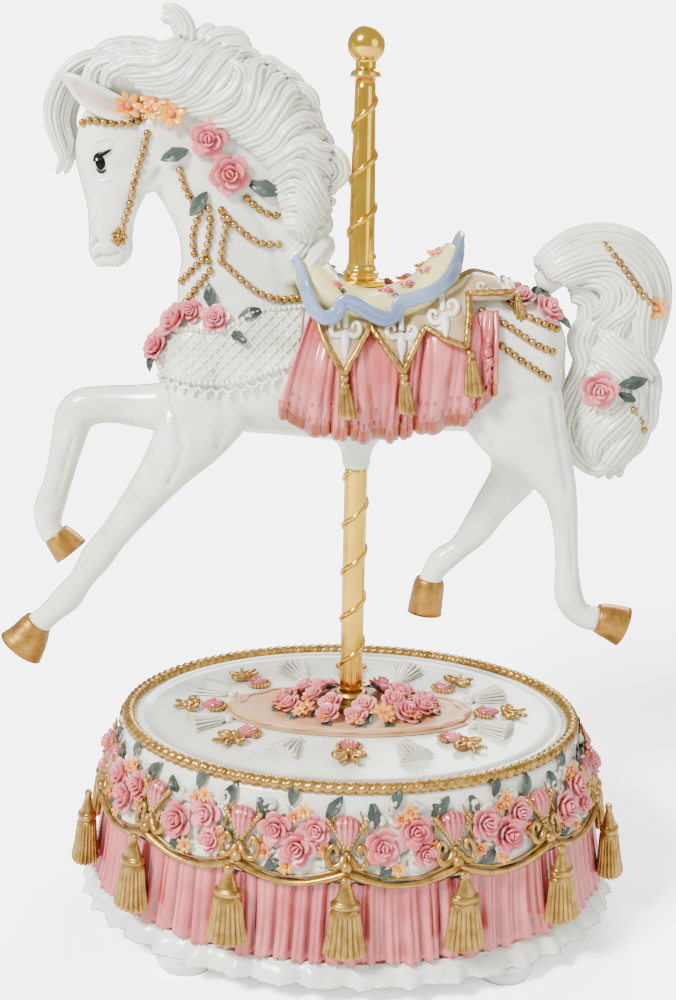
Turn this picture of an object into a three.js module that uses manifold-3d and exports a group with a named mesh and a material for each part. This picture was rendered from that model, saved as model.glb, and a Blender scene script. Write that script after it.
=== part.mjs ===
// Carousel music box: a prancing horse on a brass pole that rises and falls above an oval, skirted base
// with a cylinder music movement inside it. Millimetres, +Z up. The horse looks towards -X and shows its
// left flank towards -Y. The shapes are laid out about the pole axis and centred on the box at the end.
import * as THREE from 'three';
import { mergeVertices } from 'three/addons/utils/BufferGeometryUtils.js';
import Module from 'manifold-3d';

const wasm = await Module();
wasm.setup();

// ---- driving dimensions ---------------------------------------------------------------------------
const GAP = 0.3;                 // clearance between touching pieces
const OVAL = 0.8;                // depth of the base over its width
const TASSELS = 14;

const DECK_Z = 70;               // top of the base's deck
const DECK_A = 81;               // half width of the deck at its rope rim
const DECK_UNDER_Z = 62;
const FRIEZE_LOW_Z = 41.5;
const FRIEZE_LOW_A = 88.5;
const WALL_A = 84.7;             // shell wall behind the skirt
const WALL_IN_A = 80.5;
const SHELL_LOW_Z = 7;
const COVER_Z = 17;              // underside of the bottom cover, which leaves a recess for the key
const COVER_T = 3;

const POLE_R = 3.65;
const POLE_TOP_R = 3.3;
const POLE_BORE_R = POLE_R + GAP;
const BALL_Z = 299;
const BALL_R = 6;
const FLANGE_Z = 222.5;

const CRANK_R = 6;               // half of the horse's 12 mm lift
const ARBOR_Z = 36;
const WRIST_Z = 50;
const KEY_X = 46;                // vertical axis of the key and the spring barrel
const TIP_GAP = 0.3;             // between the tooth tips of two wheels
const PINION_TIP_R = 3.4;
const CYLINDER_WHEEL_R = 8;
const IDLER_PINION_R = 3;
const IDLER_WHEEL_R = 4.5;
const WORM_R = 1.2;
const IDLER_Y = CYLINDER_WHEEL_R + IDLER_PINION_R + TIP_GAP;
const FLY_Y = IDLER_Y + IDLER_WHEEL_R + WORM_R + TIP_GAP;
const FLY_X = 13.4;

// ---- materials ------------------------------------------------------------------------------------
const finish = (color, roughness, metalness) => ({ color, roughness, metalness });
const PEARL = finish(0xe9ece6, 0.28, 0.05);
const PETTICOAT = finish(0xf0f1ee, 0.35, 0.0);
const ROSE = finish(0xd8939b, 0.35, 0.0);
const ANTIQUE_GOLD = finish(0xb08a45, 0.35, 0.8);
const BRASS = finish(0xd9a93f, 0.18, 1.0);
const PALE_YELLOW = finish(0xeeeccd, 0.4, 0.0);
const BLUE_GREY = finish(0x9fb0c6, 0.3, 0.1);
const TAN = finish(0xc9a988, 0.45, 0.0);
const FLOWERS = finish(0xe0a99c, 0.45, 0.0);
const STEEL = finish(0xb9bcc0, 0.3, 0.9);
const CARD = finish(0xe6e3da, 0.7, 0.0);

// ---- solids ---------------------------------------------------------------------------------------
function toSolid(geometry) {
  const bare = geometry.index ? geometry.clone() : geometry;
  bare.deleteAttribute('normal');
  bare.deleteAttribute('uv');
  const merged = mergeVertices(bare, 1e-4);
  const corners = merged.index.array;
  const keep = [];
  for (let i = 0; i < corners.length; i += 3) {
    const [a, b, c] = [corners[i], corners[i + 1], corners[i + 2]];
    if (a !== b && b !== c && c !== a) keep.push(a, b, c);
  }
  const vertProperties = new Float32Array(merged.attributes.position.array);
  const make = (order) => new wasm.Manifold(
    new wasm.Mesh({ numProp: 3, vertProperties, triVerts: new Uint32Array(order) }));
  const solid = make(keep);
  if (solid.volume() >= 0) return solid;
  for (let i = 0; i < keep.length; i += 3) [keep[i], keep[i + 1]] = [keep[i + 1], keep[i]];
  return make(keep);
}

function toGeometry(solid) {
  const mesh = solid.getMesh();
  const geometry = new THREE.BufferGeometry();
  geometry.setAttribute('position', new THREE.BufferAttribute(new Float32Array(mesh.vertProperties), 3));
  geometry.setIndex(new THREE.BufferAttribute(new Uint32Array(mesh.triVerts), 1));
  geometry.computeVertexNormals();
  return geometry;
}

const union = (solids) => solids.reduce((whole, solid) => whole.add(solid));
const largest = (solid) => solid.decompose().reduce((a, b) => (a.volume() > b.volume() ? a : b));

// A tapering form through elliptical sections. A section is { at: [x, y, z], up, side }: its half size in
// the plane of travel, and its half size across it. Both ends close in a blunt cap.
function limb(sections, sides, grow = 0, across = new THREE.Vector3(0, 1, 0)) {
  const count = sections.length;
  const points = sections.map((s) => new THREE.Vector3(...s.at));
  const geometry = new THREE.SphereGeometry(1, sides, count + 1);
  const position = geometry.attributes.position;
  const along = points.map((_, i) => points[Math.min(i + 1, count - 1)].clone()
    .sub(points[Math.max(i - 1, 0)]).normalize());
  const row = sides + 1;
  for (let v = 0; v < position.count; v += 1) {
    const ring = Math.floor(v / row);
    const angle = (2 * Math.PI * ((v % row) % sides)) / sides;
    const i = THREE.MathUtils.clamp(ring - 1, 0, count - 1);
    const wide = across.clone().addScaledVector(along[i], -across.dot(along[i])).normalize();
    const tall = new THREE.Vector3().crossVectors(along[i], wide);
    const place = points[i].clone();
    if (ring === 0 || ring === count + 1) {
      const cap = (0.35 * Math.min(sections[i].up, sections[i].side) + grow) * (ring === 0 ? -1 : 1);
      place.addScaledVector(along[i], cap);
    } else {
      place.addScaledVector(tall, (sections[i].up + grow) * Math.cos(angle));
      place.addScaledVector(wide, (sections[i].side + grow) * Math.sin(angle));
    }
    position.setXYZ(v, place.x, place.y, place.z);
  }
  return toSolid(geometry);
}

const section = (x, y, z, up, side = up) => ({ at: [x, y, z], up, side });

// A turned solid about the Z axis. Its profile is a list of [radius, height] from the bottom upwards.
function turned(profile, segments) {
  const points = profile.map(([radius, height]) => new THREE.Vector2(radius, height));
  return new THREE.LatheGeometry(points, segments).rotateX(Math.PI / 2);
}

const oval = (profile, segments) => turned(profile, segments).scale(1, OVAL, 1);

function tube(curve, radius, sides, steps) {
  const round = new THREE.Shape();
  for (let i = 0; i < sides; i += 1) {
    const angle = (2 * Math.PI * i) / sides;
    const corner = [radius * Math.cos(angle), radius * Math.sin(angle)];
    if (i === 0) round.moveTo(...corner);
    else round.lineTo(...corner);
  }
  return new THREE.ExtrudeGeometry(round, { steps, extrudePath: curve, bevelEnabled: false });
}

function rod(radius, from, to, sides = 16) {
  const [a, b] = [new THREE.Vector3(...from), new THREE.Vector3(...to)];
  const geometry = new THREE.CylinderGeometry(radius, radius, a.distanceTo(b), sides);
  const turn = new THREE.Quaternion().setFromUnitVectors(
    new THREE.Vector3(0, 1, 0), b.clone().sub(a).normalize());
  const middle = a.clone().add(b).multiplyScalar(0.5);
  return geometry.applyQuaternion(turn).translate(middle.x, middle.y, middle.z);
}

function block(low, high) {
  const size = high.map((value, i) => value - low[i]);
  const middle = high.map((value, i) => (value + low[i]) / 2);
  return new THREE.BoxGeometry(...size).translate(...middle);
}

// A wheel with short straight teeth about the Z axis, from z = 0 to its thickness.
function wheel(tipRadius, teeth, thickness, depth = 0.5) {
  const geometry = new THREE.CylinderGeometry(tipRadius, tipRadius, thickness, 2 * teeth);
  const position = geometry.attributes.position;
  for (let v = 0; v < position.count; v += 1) {
    const [x, z] = [position.getX(v), position.getZ(v)];
    const radius = Math.hypot(x, z);
    const step = Math.round((Math.atan2(x, z) / Math.PI) * teeth);
    const shrink = radius > 0 && step % 2 !== 0 ? (radius - depth) / radius : 1;
    position.setX(v, x * shrink);
    position.setZ(v, z * shrink);
  }
  return geometry.rotateX(Math.PI / 2).translate(0, 0, thickness / 2);
}

const alongX = (geometry, x, y, z) => geometry.rotateY(Math.PI / 2).translate(x, y, z);

// ---- assembly -------------------------------------------------------------------------------------
const group = new THREE.Group();

function part(name, shape, look) {
  const geometry = shape.isBufferGeometry ? toGeometry(toSolid(shape)) : toGeometry(shape);
  const mesh = new THREE.Mesh(geometry, new THREE.MeshStandardMaterial(look));
  mesh.name = name;
  group.add(mesh);
}

// ---- base -----------------------------------------------------------------------------------------
const shell = toSolid(oval([
  [5.5, DECK_UNDER_Z], [68, DECK_UNDER_Z], [77.5, 54], [WALL_IN_A, 36], [WALL_IN_A, SHELL_LOW_Z],
  [WALL_A, SHELL_LOW_Z], [WALL_A, FRIEZE_LOW_Z], [FRIEZE_LOW_A, FRIEZE_LOW_Z], [86, 48], [83, 58],
  [DECK_A + 0.4, 66.4], [DECK_A, 67.4], [76.8, 67.4], [76.8, DECK_Z], [5.5, DECK_Z],
  [5.5, DECK_UNDER_Z]], 40));
const bushingHole = toSolid(rod(5.6, [0, 0, DECK_UNDER_Z - 1], [0, 0, DECK_Z + 1], 14));
part('base_shell', shell.subtract(bushingHole), PEARL);

const ropeProfile = Array.from({ length: 6 }, (_, i) => {
  const angle = (2 * Math.PI * (i % 5)) / 5;
  return [79.3 + 2 * Math.cos(angle), 69.9 + 2 * Math.sin(angle)];
});
part('rope_rim', oval(ropeProfile, 40), ANTIQUE_GOLD);

// Places equally spaced around an ellipse, by arc length: [x, y, heading of the outward normal].
function aroundOval(a, count) {
  const fine = 1440;
  const lengths = [0];
  for (let i = 1; i <= fine; i += 1) {
    const t = (2 * Math.PI * (i - 0.5)) / fine;
    lengths.push(lengths[i - 1] + Math.hypot(a * Math.cos(t), a * OVAL * Math.sin(t)));
  }
  return Array.from({ length: count }, (_, k) => {
    const goal = (k / count) * lengths[fine];
    const t = (2 * Math.PI * lengths.findIndex((length) => length >= goal - 1e-9)) / fine;
    const [x, y] = [a * Math.sin(t), -a * OVAL * Math.cos(t)];
    return [x, y, Math.atan2(y / OVAL, x * OVAL)];
  });
}

const SWAG_A = FRIEZE_LOW_A + 1.1 + GAP;
const SWAG_HIGH_Z = 45.2;
const SWAG_DIP = 4.4;
const SWAG_STEPS = 4;
const swagStops = aroundOval(SWAG_A, TASSELS * SWAG_STEPS).map(([x, y], i) => {
  const between = (i % SWAG_STEPS) / SWAG_STEPS;
  return new THREE.Vector3(x, y, SWAG_HIGH_Z - SWAG_DIP * Math.sin(Math.PI * between));
});
const swagCurve = new THREE.CatmullRomCurve3(swagStops, true);
part('swag_cord', tube(swagCurve, 1.1, 4, TASSELS * SWAG_STEPS), ANTIQUE_GOLD);

// A hanging cloth band: its outer face waves in and out around the base.
function waved(profile, outer, waves, depth, segments) {
  const geometry = oval(profile, segments);
  const position = geometry.attributes.position;
  for (let v = 0; v < position.count; v += 1) {
    const [x, y, z] = [position.getX(v), position.getY(v), position.getZ(v)];
    const radius = Math.hypot(x, y / OVAL);
    if (radius < outer) continue;
    const wave = depth * Math.cos(waves * Math.atan2(y / OVAL, x));
    const scale = (radius + wave - depth) / radius;
    position.setXYZ(v, x * scale, y * scale, z);
  }
  return geometry;
}

const SKIRT_LOW_Z = 13.8;
const skirtProfile = [[WALL_A + GAP, FRIEZE_LOW_Z - GAP], [WALL_A + GAP, SKIRT_LOW_Z],
  [91, SKIRT_LOW_Z], [89.4, 26], [87.8, FRIEZE_LOW_Z - GAP], [WALL_A + GAP, FRIEZE_LOW_Z - GAP]];
part('pleated_skirt', waved(skirtProfile, 87, 28, 0.8, 56), ROSE);

const HEM_A = 95.7;
const ruffleProfile = [[WALL_A + GAP, SKIRT_LOW_Z - GAP], [WALL_A + GAP, SHELL_LOW_Z],
  [HEM_A - 0.3, SHELL_LOW_Z], [HEM_A, SHELL_LOW_Z + 1.6], [92.4, SKIRT_LOW_Z - GAP],
  [WALL_A + GAP, SKIRT_LOW_Z - GAP]];
part('petticoat_ruffle', waved(ruffleProfile, 87, 20, 0.9, 40), PETTICOAT);

// Heights above the tassel's lower end.
const tasselProfile = [[0, 0], [4, 0], [4.3, 4], [2.6, 18], [2.8, 22], [0, 25.5]];
const TASSEL_LOW_Z = 20;
const TASSEL_A = 96.1;
const TASSEL_LEAN = 0.07;
aroundOval(TASSEL_A, TASSELS).forEach(([x, y, heading], k) => {
  const tassel = turned(tasselProfile, 7).rotateY(-TASSEL_LEAN).rotateZ(heading);
  part(`tassel_${String(k + 1).padStart(2, '0')}`, tassel.translate(x, y, TASSEL_LOW_Z), ANTIQUE_GOLD);
});

const FOOT_TOP_Z = SHELL_LOW_Z - GAP;
const FOOT_X = 53;
const FOOT_Y = 52;
const footProfile = [[0, 0], [8.5, 0], [10.2, 2.6], [9, FOOT_TOP_Z], [0, FOOT_TOP_Z]];
[[-1, -1], [1, -1], [1, 1], [-1, 1]].forEach(([sideX, sideY], k) => {
  part(`foot_${k + 1}`, turned(footProfile, 12).translate(FOOT_X * sideX, FOOT_Y * sideY, 0), PETTICOAT);
});

const MEDALLION_TOP_Z = 72.5;
const medallion = new THREE.Shape().absellipse(0, 0, 43, 22, 0, 2 * Math.PI, false, 0);
medallion.holes.push(new THREE.Path().absellipse(0, 0, 6.4, 6.4, 0, 2 * Math.PI, true, 0));
const medallionSlab = new THREE.ExtrudeGeometry(medallion, {
  depth: MEDALLION_TOP_Z - DECK_Z - GAP, bevelEnabled: false, curveSegments: 10 });
part('medallion', medallionSlab.translate(0, 0, DECK_Z + GAP), TAN);

const wreathProfile = [[11.6, 73], [26, MEDALLION_TOP_Z + GAP], [27.5, 75], [22, 79], [14, 79],
  [11.6, 76], [11.6, 73]];
part('flower_wreath', turned(wreathProfile, 20).scale(1, 0.62, 1), FLOWERS);

const collarProfile = [[POLE_BORE_R, 60], [5.1, 60], [5.1, MEDALLION_TOP_Z + GAP],
  [6.8, MEDALLION_TOP_Z + GAP], [6, 75], [4.8, 78.5], [POLE_BORE_R, 78.5], [POLE_BORE_R, 60]];
part('pole_collar', turned(collarProfile, 14), ANTIQUE_GOLD);

const cover = toSolid(oval([[0, COVER_Z], [WALL_IN_A - 0.4, COVER_Z], [WALL_IN_A - 0.4, COVER_Z + COVER_T],
  [0, COVER_Z + COVER_T]], 32));
const keyHole = toSolid(rod(3.4, [KEY_X, 0, COVER_Z - 1], [KEY_X, 0, 30], 16));
part('bottom_cover', cover.subtract(keyHole), CARD);

[[-60, 0], [20, -50], [20, 50]].forEach(([x, y], k) => {
  const head = turned([[0, 15.2], [2.6, 15.2], [3.2, COVER_Z - GAP], [0, COVER_Z - GAP]], 12);
  part(`cover_screw_${k + 1}`, head.translate(x, y, 0), STEEL);
});

// ---- music movement -------------------------------------------------------------------------------
const BED_Z = COVER_Z + COVER_T + GAP;
const BED_TOP_Z = BED_Z + 3;
const bed = union([
  toSolid(block([6, -22, BED_Z], [64, 22, BED_TOP_Z])),
  toSolid(block([6.4, -3.5, BED_TOP_Z - 1], [8.4, 3.5, ARBOR_Z + 3])),
  toSolid(block([27, -3.5, BED_TOP_Z - 1], [29, 3.5, ARBOR_Z + 3])),
  toSolid(block([11.5, -22, BED_TOP_Z - 1], [26.5, -13.5, ARBOR_Z - 0.8])),
]);
const arborBore = toSolid(rod(1.5, [0, 0, ARBOR_Z], [32, 0, ARBOR_Z], 12));
part('bedplate', bed.subtract(arborBore).subtract(keyHole), STEEL);

const COMB_TEETH = 18;
const combPitch = 14 / COMB_TEETH;
const comb = new THREE.Shape();
comb.moveTo(12, -21.5);
comb.lineTo(26, -21.5);
for (let k = COMB_TEETH; k > 0; k -= 1) {
  const x = 12 + k * combPitch;
  comb.lineTo(x - 0.1, -6.9);
  comb.lineTo(x - combPitch + 0.1, -6.9);
  if (k > 1) {
    comb.lineTo(x - combPitch + 0.1, -13);
    comb.lineTo(x - combPitch - 0.1, -13);
  }
}
const combPlate = new THREE.ExtrudeGeometry(comb, { depth: 1, bevelEnabled: false });
part('comb', combPlate.translate(0, 0, ARBOR_Z - 0.5), STEEL);
[15, 23].forEach((x, k) => {
  const head = turned([[0, 0], [2, 0], [2, 0.9], [1.4, 1.5], [0, 1.5]], 10);
  part(`comb_screw_${k + 1}`, head.translate(x, -18, ARBOR_Z + 0.5 + GAP), STEEL);
});

const BRACKET_X = 9.3;
const POST_X = [16.7, 18.7];     // the bracket's upright, clear of the turning vanes
const bracket = union([
  toSolid(block([POST_X[0], IDLER_Y - 3, BED_TOP_Z + GAP], [POST_X[1], FLY_Y + 3, 47])),
  toSolid(block([FLY_X - 3, FLY_Y - 2.4, BED_TOP_Z + GAP], [POST_X[1], FLY_Y + 3, 26])),
  toSolid(block([FLY_X - 3, FLY_Y - 2.4, 45], [POST_X[1], FLY_Y + 3, 47])),
]);
const idlerBore = toSolid(rod(1.3, [BRACKET_X, IDLER_Y, ARBOR_Z], [20, IDLER_Y, ARBOR_Z], 10));
part('governor_bracket', bracket.subtract(idlerBore), BRASS);

const barrel = union([
  toSolid(turned([[0, 24.6], [13.4, 24.6], [13.4, 30.6], [0, 30.6]], 20)),
  toSolid(wheel(15.8, 28, 1.4).translate(0, 0, 30.4)),
]);
const barrelBore = toSolid(rod(2.6, [0, 0, 20], [0, 0, 40], 16));
part('spring_barrel', barrel.subtract(barrelBore).translate([KEY_X, 0, 0]), BRASS);

const cylinder = union([
  toSolid(rod(1.2, [5.3, 0, ARBOR_Z], [33, 0, ARBOR_Z], 12)),
  toSolid(alongX(wheel(CYLINDER_WHEEL_R, 24, 2), 9.4, 0, ARBOR_Z)),
  toSolid(rod(6.5, [12, 0, ARBOR_Z], [26, 0, ARBOR_Z], 16)),
  toSolid(alongX(wheel(PINION_TIP_R, 7, 2.6), 30.2, 0, ARBOR_Z)),
]);
part('pin_cylinder', cylinder, BRASS);

const crank = union([
  toSolid(rod(9, [3, 0, ARBOR_Z], [5, 0, ARBOR_Z], 18)),
  toSolid(rod(1.1, [1.15, 0, ARBOR_Z - CRANK_R], [4, 0, ARBOR_Z - CRANK_R], 10)),
]);
part('crank_disc', crank, STEEL);

const idler = union([
  toSolid(alongX(wheel(IDLER_PINION_R, 9, 2), BRACKET_X, IDLER_Y, ARBOR_Z)),
  toSolid(rod(1, [BRACKET_X, IDLER_Y, ARBOR_Z], [19.2, IDLER_Y, ARBOR_Z], 10)),
  toSolid(alongX(wheel(IDLER_WHEEL_R, 15, 1.6), FLY_X - 0.8, IDLER_Y, ARBOR_Z)),
]);
part('idler_wheel', idler, BRASS);

const VANE = 2.8;                // reach of each of the governor's two equal vanes
const fly = union([
  toSolid(rod(WORM_R, [FLY_X, FLY_Y, 26.4], [FLY_X, FLY_Y, 44.6], 10)),
  toSolid(block([FLY_X - VANE, FLY_Y - 0.3, 40.8], [FLY_X + VANE, FLY_Y + 0.3, 44.2])),
]);
part('governor_fly', fly, BRASS);

const KEY_WING_TOP_Z = 13.5;
const key = union([
  toSolid(rod(2.2, [KEY_X, 0, 8], [KEY_X, 0, 34], 12)),
  toSolid(rod(3.6, [KEY_X, 0, 9], [KEY_X, 0, COVER_Z - 1], 12)),
  toSolid(block([KEY_X - 11, -1, 4.5], [KEY_X + 11, 1, KEY_WING_TOP_Z])),
]);
part('winding_key', key, BRASS);

// ---- pole -----------------------------------------------------------------------------------------
const BELLY_SLEEVE_Z = 160;
const SOCKET_TOP_Z = 176;
const SEAT_SOCKET_Z = 206;
const poleLow = toSolid(rod(POLE_R, [0, 0, 47], [0, 0, SOCKET_TOP_Z - GAP], 16));
const clevisSlot = toSolid(block([-1.15, -5, 46], [1.15, 5, 54]));
const wristBore = toSolid(rod(1.3, [-5, 0, WRIST_Z], [5, 0, WRIST_Z], 10));
part('pole_lower', poleLow.subtract(clevisSlot).subtract(wristBore), BRASS);
part('wrist_pin', rod(1, [-3.6, 0, WRIST_Z], [3.6, 0, WRIST_Z], 10), STEEL);

const conrod = union([
  toSolid(rod(2.4, [-0.85, 0, WRIST_Z], [0.85, 0, WRIST_Z], 14)),
  toSolid(block([-0.85, -1.3, WRIST_Z - 2 * CRANK_R - 8], [0.85, 1.3, WRIST_Z])),
  toSolid(rod(2.4, [-0.85, 0, ARBOR_Z - CRANK_R], [0.85, 0, ARBOR_Z - CRANK_R], 14)),
]);
part('connecting_rod', conrod.subtract(wristBore), STEEL);

const POLE_TOP_Z = BALL_Z - BALL_R - 4.2;
const SPIGOT_R = 3.4;         // the upper pole's foot, which stands in the seat and in the flange
const SHOULDER_R = 4.3;
const FLANGE_HEIGHT = 6.7;
const BALL_SEAT_R = 4.6;
const SHOULDER_Z = FLANGE_Z + FLANGE_HEIGHT + GAP;
const upperProfile = [
  [0, SEAT_SOCKET_Z + GAP], [SPIGOT_R, SEAT_SOCKET_Z + GAP], [SPIGOT_R, SHOULDER_Z], [SHOULDER_R, SHOULDER_Z],
  [POLE_TOP_R, POLE_TOP_Z], [0, POLE_TOP_Z]];
part('pole_upper', turned(upperProfile, 16), BRASS);
const flangeProfile = [
  [SPIGOT_R + GAP, FLANGE_Z], [7.6, FLANGE_Z], [7.9, FLANGE_Z + 1.4], [5.2, FLANGE_Z + 3.4],
  [4.6, FLANGE_Z + FLANGE_HEIGHT], [SPIGOT_R + GAP, FLANGE_Z + FLANGE_HEIGHT], [SPIGOT_R + GAP, FLANGE_Z]];
part('saddle_flange', turned(flangeProfile, 14), BRASS);
const ballProfile = [
  [0, POLE_TOP_Z + GAP], [BALL_SEAT_R, POLE_TOP_Z + GAP],
  [BALL_SEAT_R, POLE_TOP_Z + 1.6], [SPIGOT_R, POLE_TOP_Z + 2.6],
  ...Array.from({ length: 6 }, (_, i) => {
    const angle = -0.95 + (i / 5) * (0.95 + Math.PI / 2);
    return [i === 5 ? 0 : BALL_R * Math.cos(angle), BALL_Z + BALL_R * Math.sin(angle)];
  })];
part('ball_finial', turned(ballProfile, 12), BRASS);

// ---- horse ----------------------------------------------------------------------------------------
const TORSO = [
  section(67, 0, 211, 7, 7), section(61.5, 0, 207.5, 16, 14.5), section(52, 0, 202, 23.5, 18.5),
  section(38, 0, 199, 25.5, 20), section(20, 0, 196, 22.5, 20), section(0, 0, 193, 23, 20.5),
  section(-20, 0, 194, 23, 20), section(-36, 0, 197, 25, 19), section(-50, 0, 199, 20, 16.5),
  section(-61, 0, 198, 13, 11), section(-66, 0, 197, 6, 5)];
const NECK = [
  section(-38, 0, 205, 22, 15), section(-41, 0, 218, 20.5, 13), section(-43, 0, 232, 17.5, 11),
  section(-48, 0, 245, 14.5, 10), section(-55, 0, 257, 14, 9.5), section(-64, 0, 268, 13, 9),
  section(-72, 0, 275, 9.5, 7.5)];
const HEAD = [
  section(-74, 0, 279, 7, 5.5), section(-79, 0, 272, 13, 8.5), section(-80.5, 0, 263, 14, 9.2),
  section(-81.5, 0, 254, 11.5, 8.2), section(-82.5, 0, 245, 8.3, 6.3), section(-83, 0, 237, 7.6, 5.6),
  section(-83, 0, 230, 7, 5.6), section(-82.5, 0, 226.6, 4.4, 3.6)];
const NEAR_FORE = [
  section(-46, -8, 189, 18, 8), section(-56, -13, 173, 13, 7), section(-64, -15, 161, 8.2, 6),
  section(-80, -16, 140, 5.3, 4.6), section(-87.3, -16, 130.3, 5.2, 4.4),
  section(-92.5, -16, 122.5, 4.2, 3.6), section(-97, -16, 116.4, 4.9, 4.2),
  section(-103.6, -16, 110, 3.9, 3.7), section(-107.6, -16, 106.4, 4, 3.9)];
const FAR_FORE = [
  section(-52, 8, 184, 16, 8), section(-63, 13, 177.3, 10.5, 7), section(-75, 15, 177, 7.7, 6),
  section(-88, 16, 177, 6.6, 5.2), section(-98, 16, 175, 7, 5.2), section(-102.5, 16, 163, 5.8, 4.6),
  section(-106, 16, 150, 5.2, 4), section(-110, 16, 138, 5.3, 4.4), section(-110, 16, 131, 4.4, 4),
  section(-107.6, 16, 127.8, 4.2, 3.9)];
const NEAR_HIND = [
  section(46, -7, 195, 20, 9), section(55, -11, 177, 15, 9), section(63.5, -13.5, 165.5, 8.6, 6.6),
  section(69, -14.5, 155, 5.3, 4.6), section(70.8, -14.5, 144, 4.2, 3.8),
  section(72.5, -14.5, 130, 3.9, 3.5), section(73.4, -14.5, 120, 4.6, 4.2),
  section(78, -14.5, 113.5, 4, 3.7), section(83, -14.5, 112.6, 4.2, 3.8)];
const FAR_HIND = [
  section(49, 7, 188, 20, 9), section(56.5, 11, 170, 13.5, 8.5), section(56.5, 13.5, 157, 9, 6.6),
  section(49, 14.5, 144.5, 6.4, 4.8), section(43, 14.5, 134.5, 5.4, 4.2),
  section(37.5, 14.5, 128, 4.2, 3.6), section(32, 14.5, 123.5, 4.4, 4),
  section(28.6, 14.5, 118.6, 3.9, 3.7), section(27.6, 14.5, 115.2, 4.1, 3.9)];
const ear = (side) => [
  section(-82, 5.5 * side, 274, 5, 3), section(-89, 7.5 * side, 281, 4.4, 2.4),
  section(-95, 8.8 * side, 286.4, 2.2, 1.4), section(-97.4, 9.2 * side, 288.4, 0.7, 0.6)];

function horseShape(grow) {
  return union([
    limb(TORSO, 12, grow), limb(NECK, 10, grow), limb(HEAD, 8, grow),
    limb(NEAR_FORE, 7, grow), limb(FAR_FORE, 7, grow), limb(NEAR_HIND, 7, grow), limb(FAR_HIND, 7, grow),
    limb(ear(-1), 5, grow), limb(ear(1), 5, grow),
    toSolid(turned([[0, BELLY_SLEEVE_Z - grow], [4.6 + grow, BELLY_SLEEVE_Z - grow], [5.2 + grow, 165],
      [8 + grow, 171], [8 + grow, 180], [0, 180]], 12)),
  ]);
}

const lowSocket = toSolid(rod(POLE_BORE_R, [0, 0, BELLY_SLEEVE_Z - 5], [0, 0, SOCKET_TOP_Z], 16));
const highSocket = toSolid(rod(SPIGOT_R + GAP, [0, 0, SEAT_SOCKET_Z], [0, 0, 240], 14));
const horse = horseShape(0).subtract(lowSocket).subtract(highSocket);
const horseKeepOut = horseShape(GAP + 0.05);
part('horse_body', horse, PEARL);

// Each hoof is a short blunt cone beyond its pastern, widest at the sole.
function hoof(name, sections) {
  part(name, largest(limb(sections, 8).subtract(horseKeepOut)), BRASS);
}
hoof('hoof_front_near', [section(-108.6, -16, 106, 5.4, 5), section(-112, -16, 99.6, 7.4, 6.4),
  section(-114.2, -16, 97, 8.4, 7)]);
hoof('hoof_front_far', [section(-107, 16, 128.4, 5.2, 5), section(-103.6, 16, 124.4, 6, 5.8),
  section(-102.6, 16, 122.8, 6.4, 6.2)]);
hoof('hoof_hind_near', [section(84, -14.5, 112.6, 5.2, 5), section(89, -14.5, 111.2, 6, 5.8),
  section(92, -14.5, 110, 6.8, 6.2)]);
hoof('hoof_hind_far', [section(27.6, 14.5, 115, 5.2, 5), section(26.6, 14.5, 109, 5.6, 5.4),
  section(26, 14.5, 103.4, 6, 5.6)]);

// ---- hair -----------------------------------------------------------------------------------------
const MANE = [
  section(-89, 0, 285, 5, 7), section(-81, 0, 289, 8, 9), section(-70, 0, 290, 10, 11.5),
  section(-57, 0, 287, 13, 13), section(-45, 0, 282, 16, 14), section(-34, 0, 274, 16, 14),
  section(-26, 0, 263, 14, 14), section(-22, 0, 251, 12, 13.5), section(-22, 0, 242, 9, 12),
  section(-25, 0, 235.5, 4, 7)];
const PLUME = [section(-54, 0, 292, 8, 6), section(-59, 0, 302, 6, 4.6), section(-62.5, 0, 308, 3, 2.6),
  section(-64, 0, 310, 1.2, 1.2)];
const earsClear = union([limb(ear(-1), 5, 0.6), limb(ear(1), 5, 0.6)]);
const mane = limb(MANE, 10).add(limb(PLUME, 6)).subtract(horseKeepOut).subtract(earsClear);
part('mane', largest(mane), PEARL);

const FORELOCK = [
  section(-95.5, 0, 283, 2.5, 5), section(-98.8, 0, 276, 4, 6), section(-99.4, 0, 266, 3.6, 5.4),
  section(-97.6, 0, 257, 1.6, 2.6)];
const maneKeepOut = limb(MANE, 10, GAP).add(limb(PLUME, 6, GAP));
const forelock = limb(FORELOCK, 7).subtract(horseKeepOut).subtract(maneKeepOut);
part('forelock', largest(forelock), PEARL);

const TAIL = [
  section(60, 0, 223.5, 4, 5), section(68.5, 0, 229.5, 7, 7), section(79, 0, 231, 9.5, 8.5),
  section(87, 0, 224, 12, 9.5), section(89.5, 0, 212, 12.5, 10), section(88, 0, 199, 12, 10),
  section(85.5, 0, 187, 13.5, 10), section(84, 0, 175, 13.5, 9.5), section(83, 0, 165, 9, 7),
  section(87, 0, 157.5, 3.6, 3.6)];
part('tail', largest(limb(TAIL, 10).subtract(horseKeepOut)), PEARL);

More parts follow.
